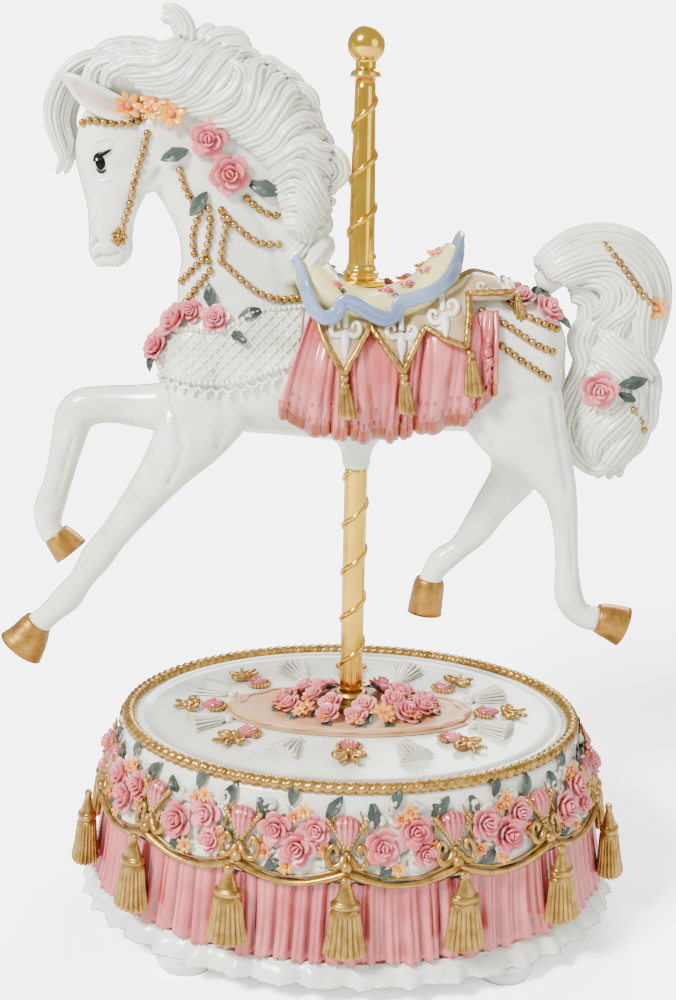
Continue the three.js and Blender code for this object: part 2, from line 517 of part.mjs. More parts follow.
// ---- saddle and cloths ----------------------------------------------------------------------------
const SEAT = [
  section(-19.5, 0, 227, 2, 7), section(-16.5, 0, 222.5, 5.5, 13.5), section(-10, 0, 218.5, 6, 17),
  section(0, 0, 216, 5.6, 18.5), section(12, 0, 216, 5.6, 18.5), section(21, 0, 220, 6, 17),
  section(27.5, 0, 227.5, 5, 13.5), section(30.5, 0, 234, 2.2, 8)];
const rimStops = [[-21.5, 0, 229], [-19, 12, 225], [-12, 18.6, 217.5], [0, 20.6, 214.4], [12, 20.6, 214],
  [22, 19, 218], [29, 14, 226], [32.4, 0, 237]];
const rimLoop = [...rimStops, ...rimStops.slice(1, 7).reverse().map(([x, y, z]) => [x, -y, z])]
  .map((stop) => new THREE.Vector3(...stop));
const rimCurve = new THREE.CatmullRomCurve3(rimLoop, true);
const RIM_R = 2.4;
const rim = toSolid(tube(rimCurve, RIM_R, 5, 28)).subtract(horseKeepOut);
const rimKeepOut = toSolid(tube(rimCurve, RIM_R + GAP + 0.1, 5, 28));
part('saddle_border', largest(rim), BLUE_GREY);

const flangeKeepOut = toSolid(rod(8.4, [0, 0, FLANGE_Z - GAP], [0, 0, 240], 14));
const seat = limb(SEAT, 10).subtract(horseKeepOut).subtract(rimKeepOut).subtract(flangeKeepOut)
  .subtract(highSocket);
part('saddle_seat', largest(seat), PALE_YELLOW);

// A cloth that follows the horse's side: the space just outside its skin, inside an outline seen from
// the side, for a stretch of y.
function cloth(outline, thickness, yLow, yHigh) {
  const shape = new THREE.Shape(outline.map(([x, z]) => new THREE.Vector2(x, z)));
  const slab = new THREE.ExtrudeGeometry(shape, { depth: yHigh - yLow, bevelEnabled: false })
    .rotateX(Math.PI / 2).translate(0, yHigh, 0);
  const skin = limb(TORSO, 12, thickness).add(limb(NECK, 10, thickness));
  return skin.intersect(toSolid(slab)).subtract(horseKeepOut).subtract(rimKeepOut)
    .subtract(limb(SEAT, 10, GAP));
}

const DRAPE = [[-25, 184], [-17, 180.5], [-7, 178], [2, 177], [12, 179.5], [20, 181], [30, 181], [37, 184],
  [43, 191], [40, 206], [37, 219], [24, 214], [12, 211], [-6, 211.5], [-15, 214], [-21, 203]];
part('drape_near', largest(cloth(DRAPE, 3.4, -40, -8)), ROSE);
part('drape_far', largest(cloth(DRAPE, 3.4, 8, 40)), ROSE);

const COLLAR = [[-70, 189], [-50, 190], [-36, 190], [-26, 196], [-24.5, 206], [-26, 213], [-40, 212],
  [-55, 207], [-70, 206]];
part('breast_collar', largest(cloth(COLLAR, 1.8, -40, 40)), PEARL);

// ---- frame: the origin is under the middle of the whole part ----------------------------------------
const whole = new THREE.Box3().setFromObject(group);
group.position.set(-(whole.min.x + whole.max.x) / 2, -(whole.min.y + whole.max.y) / 2, 0);

export default group;
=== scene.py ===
"""Carousel music box: a pearl-lacquered horse on a brass pole above an oval base dressed as a draped skirt.

Lengths are written in millimetres about the pole's axis and turned into metres by place(). The horse looks
towards -X and shows its left flank towards -Y. Side-view coordinates (x, z) lie in the plane of the pole.
"""

import math
import random

import bmesh
import bpy
import numpy as np
from mathutils import Matrix, Vector
from mathutils.bvhtree import BVHTree


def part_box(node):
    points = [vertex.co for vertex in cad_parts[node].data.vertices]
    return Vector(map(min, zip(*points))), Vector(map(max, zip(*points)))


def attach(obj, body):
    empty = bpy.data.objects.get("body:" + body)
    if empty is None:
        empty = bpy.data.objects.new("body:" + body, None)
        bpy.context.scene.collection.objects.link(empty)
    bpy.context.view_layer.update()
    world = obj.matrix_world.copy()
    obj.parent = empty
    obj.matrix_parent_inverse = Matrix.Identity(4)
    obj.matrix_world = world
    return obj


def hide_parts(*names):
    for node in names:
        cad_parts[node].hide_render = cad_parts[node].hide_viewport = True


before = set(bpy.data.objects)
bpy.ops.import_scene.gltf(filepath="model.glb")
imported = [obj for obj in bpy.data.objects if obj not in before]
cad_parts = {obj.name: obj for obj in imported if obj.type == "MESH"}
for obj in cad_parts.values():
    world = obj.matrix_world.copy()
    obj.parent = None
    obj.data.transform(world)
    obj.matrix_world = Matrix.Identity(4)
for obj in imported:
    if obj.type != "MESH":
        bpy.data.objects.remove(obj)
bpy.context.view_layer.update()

MM = 0.001
TAU = 2 * math.pi
POLE_X = (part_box("pole_lower")[0][0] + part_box("pole_lower")[1][0]) / 2
HORSE = "horse_and_pole"
BASE = "base"
NEAR, FAR = -1, 1

# ---- base sizes, in millimetres: _A is half the length of an oval, _Z a height ----------------------
OVAL = 0.8                  # width of the base over its length
TASSELS = 14                # and as many bays
DECK_A, DECK_Z = 81, 70
WALL_A, HEM_Z = 84.7, 7
SKIRT_LOW_Z = 13.8
SWAG_A, SWAG_HIGH_Z, SWAG_DIP = 89.9, 45.2, 4.4
TASSEL_A, TASSEL_LOW_Z = 96.1, 20


def place(x, y, z):
    """A point in millimetres about the pole's axis, as metres in the row frame."""
    return Vector((POLE_X + x * MM, y * MM, z * MM))


# ---- camera ----------------------------------------------------------------------------------------
EYE = Vector((0, -478.6, 268.6))
AIM = Vector((-6.0, 0, 148.4))
ROLL = math.radians(1.22)
FOCAL_LENGTH = 51.3


def set_camera():
    forward = (AIM - EYE).normalized()
    level = forward.cross(Vector((0, 0, 1))).normalized()
    upright = level.cross(forward)
    right = level * math.cos(ROLL) + upright * math.sin(ROLL)
    up = upright * math.cos(ROLL) - level * math.sin(ROLL)
    data = bpy.data.cameras.new("camera")
    data.sensor_fit = "AUTO"
    data.sensor_width = 36
    data.lens = FOCAL_LENGTH
    camera = bpy.data.objects.new("camera", data)
    turn = Matrix((right, up, -forward)).transposed().to_4x4()
    camera.matrix_world = Matrix.Translation(place(*EYE)) @ turn
    bpy.context.scene.collection.objects.link(camera)
    bpy.context.scene.camera = camera


# ---- materials -------------------------------------------------------------------------------------
def linear(code):
    """An sRGB hex colour as linear RGBA."""
    channels = [int(code[i:i + 2], 16) / 255 for i in (1, 3, 5)]
    return [c / 12.92 if c <= 0.04045 else ((c + 0.055) / 1.055) ** 2.4 for c in channels] + [1]


def add(material, kind, inputs, output=0, **settings):
    """Adds a node with its settings and links, and gives one of its outputs."""
    tree = material.node_tree
    node = tree.nodes.new(kind)
    for key, value in settings.items():
        setattr(node, key, value)
    for key, value in inputs.items():
        if isinstance(value, bpy.types.NodeSocket):
            tree.links.new(value, node.inputs[key])
        else:
            node.inputs[key].default_value = value
    return node.outputs[output]


def start(name, **sockets):
    """A new material with its shader's fixed values, its shader inputs and its object coordinates."""
    material = bpy.data.materials.new(name)
    material.use_nodes = True
    inputs = material.node_tree.nodes["Principled BSDF"].inputs
    for socket, value in sockets.items():
        inputs[socket.replace("_", " ")].default_value = value
    return material, inputs, add(material, "ShaderNodeTexCoord", {}, "Object")


# Mix nodes in colour mode take their factor at input 0 and their colours at 6 and 7, and give output 2.
def shaded_washed_paint(name, light, shade, hollow, patch, shade_and_wash_run, gloss, grain, **sockets):
    """Brushed paint: light and shade in broad patches, and in the hollows of the relief a darker colour
    that is painted shade and partly an antique wash. patch is the patches' size in mm, detail and spread;
    then the run of the relief that the painted shade fades over; gloss how far the roughness strays; grain
    the brush marks' size in mm, detail and depth in mm."""
    material, inputs, where = start(name, **sockets)
    patches = add(material, "ShaderNodeTexNoise",
                  {"Vector": where, "Scale": 1 / (patch[0] * MM), "Detail": patch[1]})
    drift = add(material, "ShaderNodeMapRange",
                {"Value": patches, "From Min": 0.5 - patch[2], "From Max": 0.5 + patch[2]})
    tones = {0: drift, 6: linear(shade), 7: linear(light)}
    body = add(material, "ShaderNodeMix", tones, 2, data_type="RGBA")
    # Painted shade, partly an antique wash: the hollow colour darkens the paint where the surface curves
    # inward.
    edge = add(material, "ShaderNodeNewGeometry", {}, "Pointiness")
    open_face = add(material, "ShaderNodeMapRange",
                    {"Value": edge, "From Min": shade_and_wash_run[0], "From Max": shade_and_wash_run[1]})
    tones = {0: open_face, 6: linear(hollow), 7: body}
    shaded_and_washed = add(material, "ShaderNodeMix", tones, 2, data_type="RGBA")
    drag = add(material, "ShaderNodeTexNoise",
               {"Vector": where, "Scale": 1 / (grain[0] * MM), "Detail": grain[1]})
    bump = add(material, "ShaderNodeBump", {"Height": drag, "Distance": grain[2] * MM})
    rough = sockets["Roughness"]
    sheen = add(material, "ShaderNodeMapRange",
                {"Value": patches, "To Min": rough + gloss[0], "To Max": rough + gloss[1]})
    for output, socket in ((shaded_and_washed, "Base Color"), (sheen, "Roughness"), (bump, "Normal")):
        material.node_tree.links.new(output, inputs[socket])
    return material


def painted_resin(name, light, shade, hollow, rough=0.3, coat=0.5, grain_mm=1.6, relief=0.05, shine=0.5):
    """Cast resin brushed with paint and lacquered: soft patches, and in the hollows painted shade that is
    partly an antique wash.
    """
    return shaded_washed_paint(name, light, shade, hollow, (14, 3.0, 0.15), (0.44, 0.502), (-0.06, 0.08),
                        (grain_mm, 4.0, relief), Roughness=rough, Coat_Weight=coat, Coat_Roughness=0.12,
                        Specular_IOR_Level=shine)


def gold_paint(name, light, dark, hollow, rough=0.34):
    """Antiqued gold paint: bright where it is rubbed, brown in the recesses, where it is an antique wash
    and painted shade.
    """
    return shaded_washed_paint(name, light, dark, hollow, (3.5, 4.0, 0.2), (0.42, 0.51), (-0.1, 0.14),
                        (0.8, 3.0, 0.05), Metallic=0.85, Roughness=rough)


def bare_metal(name, light, dark, rough, mark_mm, stretch):
    """Polished or machined metal: a slow change of tone, and tool marks stretched along the work. The
    marks of a fine tool are too small to show, so they are drawn mark_mm apart."""
    material, inputs, where = start(name, Metallic=1.0, Roughness=rough)
    broad = add(material, "ShaderNodeTexNoise", {"Vector": where, "Scale": 1 / (9 * MM), "Detail": 2.0})
    tone = add(material, "ShaderNodeMix", {0: broad, 6: linear(dark), 7: linear(light)}, 2,
               data_type="RGBA")
    drawn = add(material, "ShaderNodeMapping", {"Vector": where, "Scale": stretch})
    marks = add(material, "ShaderNodeTexNoise",
                {"Vector": drawn, "Scale": 1 / (mark_mm * MM), "Detail": 2.0})
    gloss = add(material, "ShaderNodeMapRange",
                {"Value": marks, "To Min": rough - 0.07, "To Max": rough + 0.1})
    links = material.node_tree.links
    links.new(tone, inputs["Base Color"])
    links.new(gloss, inputs["Roughness"])
    return material


# Each paint's third colour darkens its hollows: painted shade, partly an antique wash.
PEARL = painted_resin("pearl_lacquer_resin", "#F4F3E4", "#D9DFCF", "#899078", coat=0.8, rough=0.26)
WHITE = painted_resin("white_lacquer_resin", "#F6F6EC", "#DEE4D8", "#8E9680")
LACE = painted_resin("white_lace_relief", "#F4F4E8", "#CDD0BC", "#5E5E48", rough=0.36)
# The frieze relief and the deck's fan tassels are painted darker than the white casting: painted shade for
# their crinkled relief, with an antique wash darker still in the hollows.
RELIEF = painted_resin("antiqued_shaded_relief_resin", "#E6E3D0", "#B4B49C", "#5A4A3A", rough=0.36)
ROSE = painted_resin("rose_pink_pearl_paint", "#DC7472", "#C04F50", "#6E1A20", rough=0.24, coat=0.8)
DRAPE = painted_resin("drape_pink_pearl_paint", "#DB7674", "#C05452", "#7A2522", rough=0.24, coat=0.8)
HEM = painted_resin("salmon_brown_hem_paint", "#B85C40", "#96442C", "#5A2214", rough=0.38)
PETAL = painted_resin("rose_petal_paint", "#E38A8C", "#CB5F68", "#7E222E", rough=0.34)
PEACH = painted_resin("peach_daisy_paint", "#E8782E", "#CC5E1E", "#7C3208", rough=0.4)
YELLOW = painted_resin("yellow_daisy_paint", "#F3A81C", "#DC8A12", "#8A4C08", rough=0.4)
LEAF = painted_resin("frosted_leaf_paint", "#46564A", "#16231C", "#060C09", rough=0.4, coat=0.2,
                     grain_mm=1.1, relief=0.25)
TAN = painted_resin("tan_medallion_paint", "#CDA074", "#B98654", "#6F4626", rough=0.42, coat=0.1)
BLUE = painted_resin("blue_grey_pearl_paint", "#8294B4", "#5F7396", "#343F5A", rough=0.24, coat=0.8)
SEAT = painted_resin("pale_yellow_seat_paint", "#EAE49A", "#D2CC76", "#7A763C", rough=0.38)
BAND = painted_resin("cream_band_paint", "#C6AC80", "#9C7C50", "#553A1C", rough=0.42)
# A darker warm colour inside the ears: painted shade in their hollows.
EAR_HOLLOW_SHADE = painted_resin("ear_hollow_painted_shade", "#E4D3C4", "#CDB3A2", "#8C6C5A", rough=0.34)
INK = painted_resin("black_eye_enamel", "#080706", "#040303", "#020202", rough=0.3, coat=0.0, shine=0.12)
GOLD = gold_paint("antique_gold_paint", "#C89F54", "#8E6A2A", "#33220A", rough=0.28)
BEAD = gold_paint("gold_bead_paint", "#C69C54", "#8E682A", "#33220C", rough=0.24)
HOOF = gold_paint("satin_gold_hoof_paint", "#B8883C", "#8C6426", "#3E280E", rough=0.36)
BRASS = bare_metal("polished_brass_tube", "#F4CC4A", "#CC9622", 0.15, 0.5, (1, 1, 0.02))
MOVEMENT = bare_metal("machined_movement_brass", "#CFA855", "#A67F3C", 0.3, 0.4, (1, 0.2, 1))
STEEL = bare_metal("nickel_plated_steel", "#C9CBCD", "#9FA2A6", 0.28, 0.4, (0.2, 1, 1))
BOARD = painted_resin("pale_fibre_board", "#E9E4D6", "#D9D1BE", "#B5AB93", rough=0.7, coat=0.0,
                      grain_mm=0.9)

# The movement, the cover and the lower pole keep their own shapes and take a finish here.
KEPT_FINISHES = (
    (BRASS, ["pole_lower"]),
    (
     MOVEMENT,
     ["governor_bracket", "pin_cylinder", "spring_barrel", "idler_wheel", "governor_fly", "winding_key"]),
    (
     STEEL,
     ["wrist_pin", "bedplate", "comb", "crank_disc", "connecting_rod", "comb_screw_1", "comb_screw_2",
      "cover_screw_1", "cover_screw_2", "cover_screw_3"]),
    (BOARD, ["bottom_cover"]))
for finish_material, kept in KEPT_FINISHES:
    for node in kept:
        for slot in bpy.data.objects[node].material_slots:
            slot.material = finish_material


# ---- mesh helpers ----------------------------------------------------------------------------------
def finish(name, bm, materials, body, stands_for=(), thickness=0.0, levels=0):
    """Turns a bmesh into a named piece that rides on a body and stands for the named CAD nodes."""
    mesh = bpy.data.meshes.new(name)
    bm.to_mesh(mesh)
    bm.free()
    for material in materials:
        mesh.materials.append(material)
    for face in mesh.polygons:
        face.use_smooth = True
    piece = bpy.data.objects.new(name, mesh)
    bpy.context.scene.collection.objects.link(piece)
    if thickness:
        wall = piece.modifiers.new("thickness", "SOLIDIFY")
        wall.thickness = thickness * MM
        wall.offset = 0
    if levels:
        fine = piece.modifiers.new("fine", "SUBSURF")
        fine.levels = fine.render_levels = levels
    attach(piece, body)
    if stands_for:
        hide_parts(*stands_for)
    return piece


def shaped(bm, across, along, shape, wrap=True, material=0):
    """Adds a grid bent into a surface: shape(u, w) gives a point for u, w from 0 to 1. wrap closes u."""
    grid = bmesh.ops.create_grid(bm, x_segments=across, y_segments=along, size=0.5)["verts"]
    for vert in grid:
        vert.co = shape(vert.co.x + 0.5, vert.co.y + 0.5)
    faces = list({face for vert in grid for face in vert.link_faces})
    for face in faces:
        face.material_index = material
    if wrap:
        bmesh.ops.remove_doubles(bm, verts=grid, dist=1e-6)
        faces = [face for face in faces if face.is_valid]
        bmesh.ops.recalc_face_normals(bm, faces=faces)
    return faces


def turn_outward(bm, faces, side):
    """Turns an open sheet so that its faces look away from the pole's plane on its own side."""
    bmesh.ops.recalc_face_normals(bm, faces=faces)
    if sum(face.normal.y * side for face in faces) < 0:
        bmesh.ops.reverse_faces(bm, faces=faces)


def blend_points(points, t):
    """A Catmull-Rom curve through lists of numbers, at t from 0 to 1."""
    last = len(points) - 1
    position = min(max(t, 0), 1) * last
    i = min(int(position), last - 1)
    f = position - i
    a, b, c, d = (points[min(max(i + k, 0), last)] for k in (-1, 0, 1, 2))
    return [q + 0.5 * f * (r - p + f * (2 * p - 5 * q + 4 * r - s + f * (3 * (q - r) + s - p)))
            for p, q, r, s in zip(a, b, c, d)]


def straight_points(points, t):
    """The same list of points joined by straight lines, so its corners stay crisp."""
    position = min(max(t, 0), 1) * (len(points) - 1)
    i = min(int(position), len(points) - 2)
    return [a + (b - a) * (position - i) for a, b in zip(points[i], points[i + 1])]


def limb(bm, sections, sides=24, steps=6, material=0, ripple=None, blunt=False):
    """A tapering form through elliptical sections (x, y, z, half height, half width), in millimetres.
    ripple(u, w) swells it, and blunt leaves its ends flat."""
    along = steps * (len(sections) - 1)

    def shape(u, w):
        x, y, z, up, side = blend_points(sections, w)
        ahead = Vector(blend_points(sections, w + 0.01)[:3])
        axis = (ahead - Vector(blend_points(sections, w - 0.01)[:3])).normalized()
        wide = (Vector((0, 1, 0)) - axis * axis.y).normalized()
        tall = axis.cross(wide)
        edge = min(w, 1 - w) * along
        end = 1 if edge >= 1 else math.sqrt(max(0, 1 - (1 - edge) ** 2))
        if blunt and edge > 0.01:       # any ring but the closing one
            end = 1
        swell = end * (1 + (ripple(u, w) if ripple else 0))
        offset = tall * (max(up, 0.05) * math.cos(TAU * u)) + wide * (max(side, 0.05) * math.sin(TAU * u))
        return place(*(Vector((x, y, z)) + offset * swell))

    shaped(bm, sides, along, shape, material=material)


def turned(bm, profile, sides=32, rows=24, centre=(0, 0), squash=1.0, flute=None, crisp=False):
    """A form turned about a vertical axis from a profile of (radius, height). crisp keeps its corners."""
    through = straight_points if crisp else blend_points

    def shape(u, w):
        radius, height = through(profile, w)
        radius = max(radius, 0) * (1 + (flute(u, w) if flute else 0))
        x, y = radius * math.cos(TAU * u), radius * squash * math.sin(TAU * u)
        return place(centre[0] + x, centre[1] + y, height)

    shaped(bm, sides, rows, shape)


def stamp(bm, mesh, matrix, material=0):
    """Adds a copy of a pattern, placed by a matrix, with its faces moved on by material slots."""
    copy = mesh.copy()
    copy.transform(matrix)
    slots = np.empty(len(copy.polygons), dtype=np.int32)
    copy.polygons.foreach_get("material_index", slots)
    copy.polygons.foreach_set("material_index", slots + material)
    bm.from_mesh(copy)
    bpy.data.meshes.remove(copy)


def facing(point, normal, turn=0.0, size=1.0):
    """A matrix that stands a pattern on point, its +Z along normal, turned about it and scaled from mm."""
    spin = Matrix.Rotation(turn, 4, "Z")
    aim = Vector(normal).to_track_quat("Z", "Y").to_matrix().to_4x4()
    return Matrix.Translation(point) @ aim @ spin @ Matrix.Scale(size * MM, 4)


ROPE_RELIEF = 0.5           # depth of the lay between strands, as a share of the cord's radius
CLOSED_END = 0.02           # an open cord's ends draw in to this share of its radius


def cord(bm, points, radius, sides=8, material=0, taper=None, strands=0, turns=0.0):
    """A cord through points in metres. taper(w) scales it; strands and turns twist it like a rope."""
    closed = (points[0] - points[-1]).length < 1e-6
    last = len(points) - 1
    frames = []
    side = None
    for i in range(last + 1):
        before = points[(i - 1) % last] if closed else points[max(i - 1, 0)]
        after = points[(i + 1) % last] if closed else points[min(i + 1, last)]
        axis = (after - before).normalized()
        side = side or axis.orthogonal()
        side = (side - axis * side.dot(axis)).normalized()
        frames.append((points[i], side.copy(), axis.cross(side)))
    drift = 0.0
    if closed:
        drift = math.atan2(frames[-1][1].dot(frames[0][2]), frames[-1][1].dot(frames[0][1]))

    def shape(u, w):
        i = round(w * last)
        point, one, two = frames[i]
        angle = TAU * u - drift * w
        lay = abs(math.cos(strands * (TAU * u - drift * w + turns * TAU * w) / 2))
        swell = 1 + (ROPE_RELIEF * lay - ROPE_RELIEF / 2 if strands else 0)
        width = radius * MM * swell * (taper(w) if taper else 1)
        if not closed and i in (0, last):
            width *= CLOSED_END
        return point + (one * math.cos(angle) + two * math.sin(angle)) * width

    shaped(bm, sides, last, shape, material=material)


# ---- the horse -------------------------------------------------------------------------------------
TORSO = [
    (67.5, 0, 211, 5, 5), (61.5, 0, 208, 15.5, 14), (52, 0, 202, 23.5, 18.5), (38, 0, 199, 25, 20),
    (20, 0, 196, 22.5, 20), (0, 0, 193, 23, 20.5), (-20, 0, 194, 23, 20), (-36, 0, 197, 25, 19),
    (-50, 0, 199, 20, 16.5), (-61, 0, 198, 13, 11), (-66.5, 0, 197, 5, 4)]
NECK = [
    (-38, 0, 205, 22, 15), (-41, 0, 218, 20.5, 13), (-43, 0, 232, 17.5, 11), (-48, 0, 245, 14.5, 10),
    (-55, 0, 257, 14, 9.5), (-64, 0, 268, 13, 9), (-72, 0, 275, 9.5, 7.5)]
CREST = [
    (-24, 0, 222, 8, 8), (-26, 0, 234, 9, 7.6), (-31, 0, 246, 10, 7.4), (-39, 0, 258, 11, 7.4),
    (-49, 0, 268, 11, 7.4), (-62, 0, 275, 9, 7), (-70, 0, 279, 6, 5)]
HEAD = [
    (-75, 0, 280, 6, 5), (-79, 0, 273, 12.5, 8.2), (-80.5, 0, 264, 14, 9.4), (-81.5, 0, 255, 11.8, 8.6),
    (-82.6, 0, 246, 8.4, 6.4), (-83.2, 0, 238, 7.3, 5.4), (-83.2, 0, 231, 7.2, 5.8),
    (-82.6, 0, 227, 4.6, 4)]
NEAR_FORE = [
    (-44, -8, 193, 17, 7), (-54, -13, 175, 13, 7.4), (-64, -15, 161, 8.4, 6.4), (-73, -16, 149, 6.3, 5.3),
    (-81, -16, 138.6, 5.1, 4.6), (-87.3, -16, 130.3, 5.4, 4.8), (-92.5, -16, 122.5, 4.2, 3.8),
    (-97.4, -16, 116, 5, 4.5), (-103.6, -16, 110, 4.1, 3.9), (-109, -16, 105, 4.6, 4.4)]
FAR_FORE = [
    (-52, 8, 184, 16, 8), (-63, 13, 177.6, 10.5, 7.2), (-75, 15, 177, 7.9, 6.2), (-88, 16, 177.2, 6.7, 5.4),
    (-98.6, 16, 174.6, 7, 5.6), (-102.8, 16, 163, 5.9, 4.8), (-106.2, 16, 150, 5, 4.2),
    (-110, 16, 139, 5.4, 4.8), (-110.4, 16, 132, 4.5, 4.2), (-107.4, 16, 127.4, 4.4, 4.3)]
NEAR_HIND = [
    (46, -7, 196, 20, 9), (54.5, -11, 179, 16, 9.4), (62.5, -13.4, 167, 10, 7.4), (68, -14.5, 157, 6, 5.2),
    (70.6, -14.5, 146, 4.4, 4), (72, -14.5, 133, 3.9, 3.6), (73.4, -14.5, 120.5, 4.8, 4.5),
    (78, -14.5, 113.7, 4.1, 3.9), (85, -14.5, 112.4, 4.6, 4.3)]
FAR_HIND = [
    (49, 7, 188, 20, 9), (56.5, 11, 170, 13.5, 8.8), (56.5, 13.5, 157, 9.2, 7), (49, 14.5, 144.5, 6.6, 5),
    (43, 14.5, 134.5, 5.6, 4.5), (37.5, 14.5, 128, 4.2, 3.8), (32, 14.5, 123.5, 4.7, 4.3),
    (28.6, 14.5, 118.6, 4, 3.8), (27.4, 14.5, 114, 4.6, 4.3)]
BELLY_SLEEVE = [
    (0, 159.6), (4.2, 159.6), (4.7, 160.6), (4.9, 164), (5.6, 167), (8, 171), (9, 178), (0, 180)]


def muscle(x, y, z, length, tall, wide, lean):
    """A soft swelling under the skin: a short limb centred on a point, leaning by an angle in degrees."""
    run = Vector((math.cos(math.radians(lean)), 0, math.sin(math.radians(lean)))) * length
    widths = [(t, math.sqrt(max(0.02, 1 - t * t))) for t in (-1, -0.6, 0, 0.6, 1)]
    return [(*(Vector((x, y, z)) + run * t), tall * w, wide * w) for t, w in widths]


def paired(x, y, z, *rest):
    return [muscle(x, y, z, *rest), muscle(x, -y, z, *rest)]


MUSCLES = (
    paired(-73.5, 5.4, 258, 7.5, 9, 3.4, 70)        # cheek
    + paired(-87.4, 5.2, 263.5, 3.6, 1.8, 2.2, 15)  # brow
    + paired(-87.6, 4, 232.5, 2.6, 2.2, 2, 80)      # nostril wing
    + paired(-80.6, 2.6, 228.6, 2.6, 1.8, 2.6, 20)  # lower lip
    + paired(-49, 9.6, 194, 19, 13, 7.6, 118)       # shoulder
    + paired(-58, 5.6, 197, 11, 10, 6.4, 110)       # breast
    + paired(50, 10.2, 197, 20, 17, 8.4, 112))      # thigh

VOXEL_MM = 0.9              # grain of the skin that joins the limbs
SKIN_SMOOTHING = 14
EDGE_ON = 0.25              # skin turned further from the flank than this takes no crease

EYE_AT = (-86.2, 260.4)
# Creases pressed into the skin, seen from the side: points (x, z), depth and half width, in millimetres.
# They mark the jaw, mouth, nostril, shoulder, breast, flank, thigh, knees and hock, and the eye's socket.
CREASES = [
    ([(-76.5, 245), (-73.5, 250.5), (-69.5, 253.5), (-66, 259)], 0.8, 1.6),
    ([(-88.6, 229.6), (-85.6, 230.6), (-82.4, 230.8), (-79.6, 232)], 1.0, 0.9),
    ([(-89.4, 234.2), (-88.2, 235.8), (-86.8, 235.4)], 1.3, 1.0),
    ([(-66, 190), (-60, 178), (-58, 168), (-62, 158)], 0.9, 1.8),
    ([(-42, 208), (-47, 192), (-44, 178), (-46, 170)], 0.8, 2.6),
    ([(38, 214), (42, 198), (38, 184), (44, 172)], 0.8, 2.8),
    ([(64, 188), (66, 178), (68, 168), (70, 158)], 0.7, 1.6),
    ([(-82, 145), (-87, 136), (-92, 128)], 0.6, 1.0),
    ([(-100, 166), (-103, 156), (-106, 146)], 0.6, 1.0),
    ([(71, 150), (72.4, 140), (73.4, 130)], 0.5, 0.9),
    ([EYE_AT, EYE_AT], 0.5, 3.4)]


def press(mesh, creases):
    """Presses soft grooves along side-view lines into both flanks."""
    count = len(mesh.vertices)
    places, normals = np.empty(count * 3), np.empty(count * 3)
    mesh.vertices.foreach_get("co", places)
    mesh.vertices.foreach_get("normal", normals)
    places, normals = places.reshape(-1, 3), normals.reshape(-1, 3)
    x, z = (places[:, 0] - POLE_X) / MM, places[:, 2] / MM
    depth = np.zeros(count)
    for line, deep, half_width in creases:
        nearest = np.full(count, 1e9)
        for i in range(25):
            at_x, at_z = blend_points(line, i / 24)
            fade = 1 + 0.6 * abs(i / 12 - 1) ** 3
            nearest = np.minimum(nearest, np.hypot(x - at_x, z - at_z) * fade)
        depth += deep * np.exp(-(nearest / half_width) ** 2)
    depth[np.abs(normals[:, 1]) < EDGE_ON] = 0
    places -= normals * (depth * MM)[:, None]
    mesh.vertices.foreach_set("co", places.ravel())
    mesh.update()


def make_horse():
    bm = bmesh.new()
    for sections in (TORSO, NECK, HEAD, NEAR_FORE, FAR_FORE, NEAR_HIND, FAR_HIND, CREST, *MUSCLES):
        limb(bm, sections, sides=28, steps=5)
    turned(bm, BELLY_SLEEVE)
    horse = finish("horse_skin", bm, [PEARL], HORSE, ["horse_body"])
    remesh = horse.modifiers.new("skin", "REMESH")
    remesh.mode = "VOXEL"
    remesh.voxel_size = VOXEL_MM * MM
    soften = horse.modifiers.new("soften", "SMOOTH")
    soften.factor = 0.5
    soften.iterations = SKIN_SMOOTHING
    skin = bpy.data.meshes.new_from_object(horse.evaluated_get(bpy.context.evaluated_depsgraph_get()))
    horse.modifiers.clear()
    horse.data = skin
    press(skin, CREASES)
    for face in skin.polygons:
        face.use_smooth = True
    return horse


set_camera()
horse = make_horse()
SKIN = BVHTree.FromObject(horse, bpy.context.evaluated_depsgraph_get())


def on_skin(x, z, lift=0.0, side=NEAR):
    """The place on a flank in line with (x, z) of the pole's plane, lifted off it, with its normal."""
    eye = place(*EYE)
    point, normal, _, _ = SKIN.ray_cast(eye, (place(x, 0, z) - eye).normalized())
    if point is None:
        point, normal, _, _ = SKIN.find_nearest(place(x, -12, z))
    if side == FAR:
        point, normal, _, _ = SKIN.find_nearest(Vector((point.x, -point.y, point.z)))
    return point + normal * lift * MM, normal


# ---- patterns stamped many times -------------------------------------------------------------------
def pattern(build):
    """A mesh made once, in millimetres about its own origin, for stamping many times."""
    bm = bmesh.new()
    build(bm)
    for face in bm.faces:
        face.smooth = True
    mesh = bpy.data.meshes.new("pattern")
    bm.to_mesh(mesh)
    bm.free()
    return mesh


def petal(bm, turn, lean, reach, height, wide, tall, cup):
    """A thin cupped petal standing at reach from the flower's axis and leaning outward."""
    verts = bmesh.ops.create_uvsphere(bm, u_segments=8, v_segments=5, radius=1)["verts"]
    bmesh.ops.scale(bm, vec=(0.09, wide, tall), verts=verts)
    for vert in verts:
        vert.co.x -= cup * vert.co.y ** 2 - 0.18 * max(vert.co.z, 0) ** 2
    matrix = (Matrix.Rotation(turn, 4, "Z") @ Matrix.Translation((reach, 0, height))
              @ Matrix.Rotation(lean, 4, "Y"))
    bmesh.ops.transform(bm, matrix=matrix, verts=verts)


# Rings of a rose one millimetre in radius: petals, lean, reach, height, half width, half height, cup.
ROSE_RINGS = [
    (2, 0.05, 0.10, 0.66, 0.24, 0.34, 1.6), (3, 0.25, 0.26, 0.56, 0.34, 0.38, 1.1),
    (4, 0.6, 0.46, 0.42, 0.42, 0.42, 0.8), (5, 1.0, 0.68, 0.24, 0.48, 0.42, 0.55)]


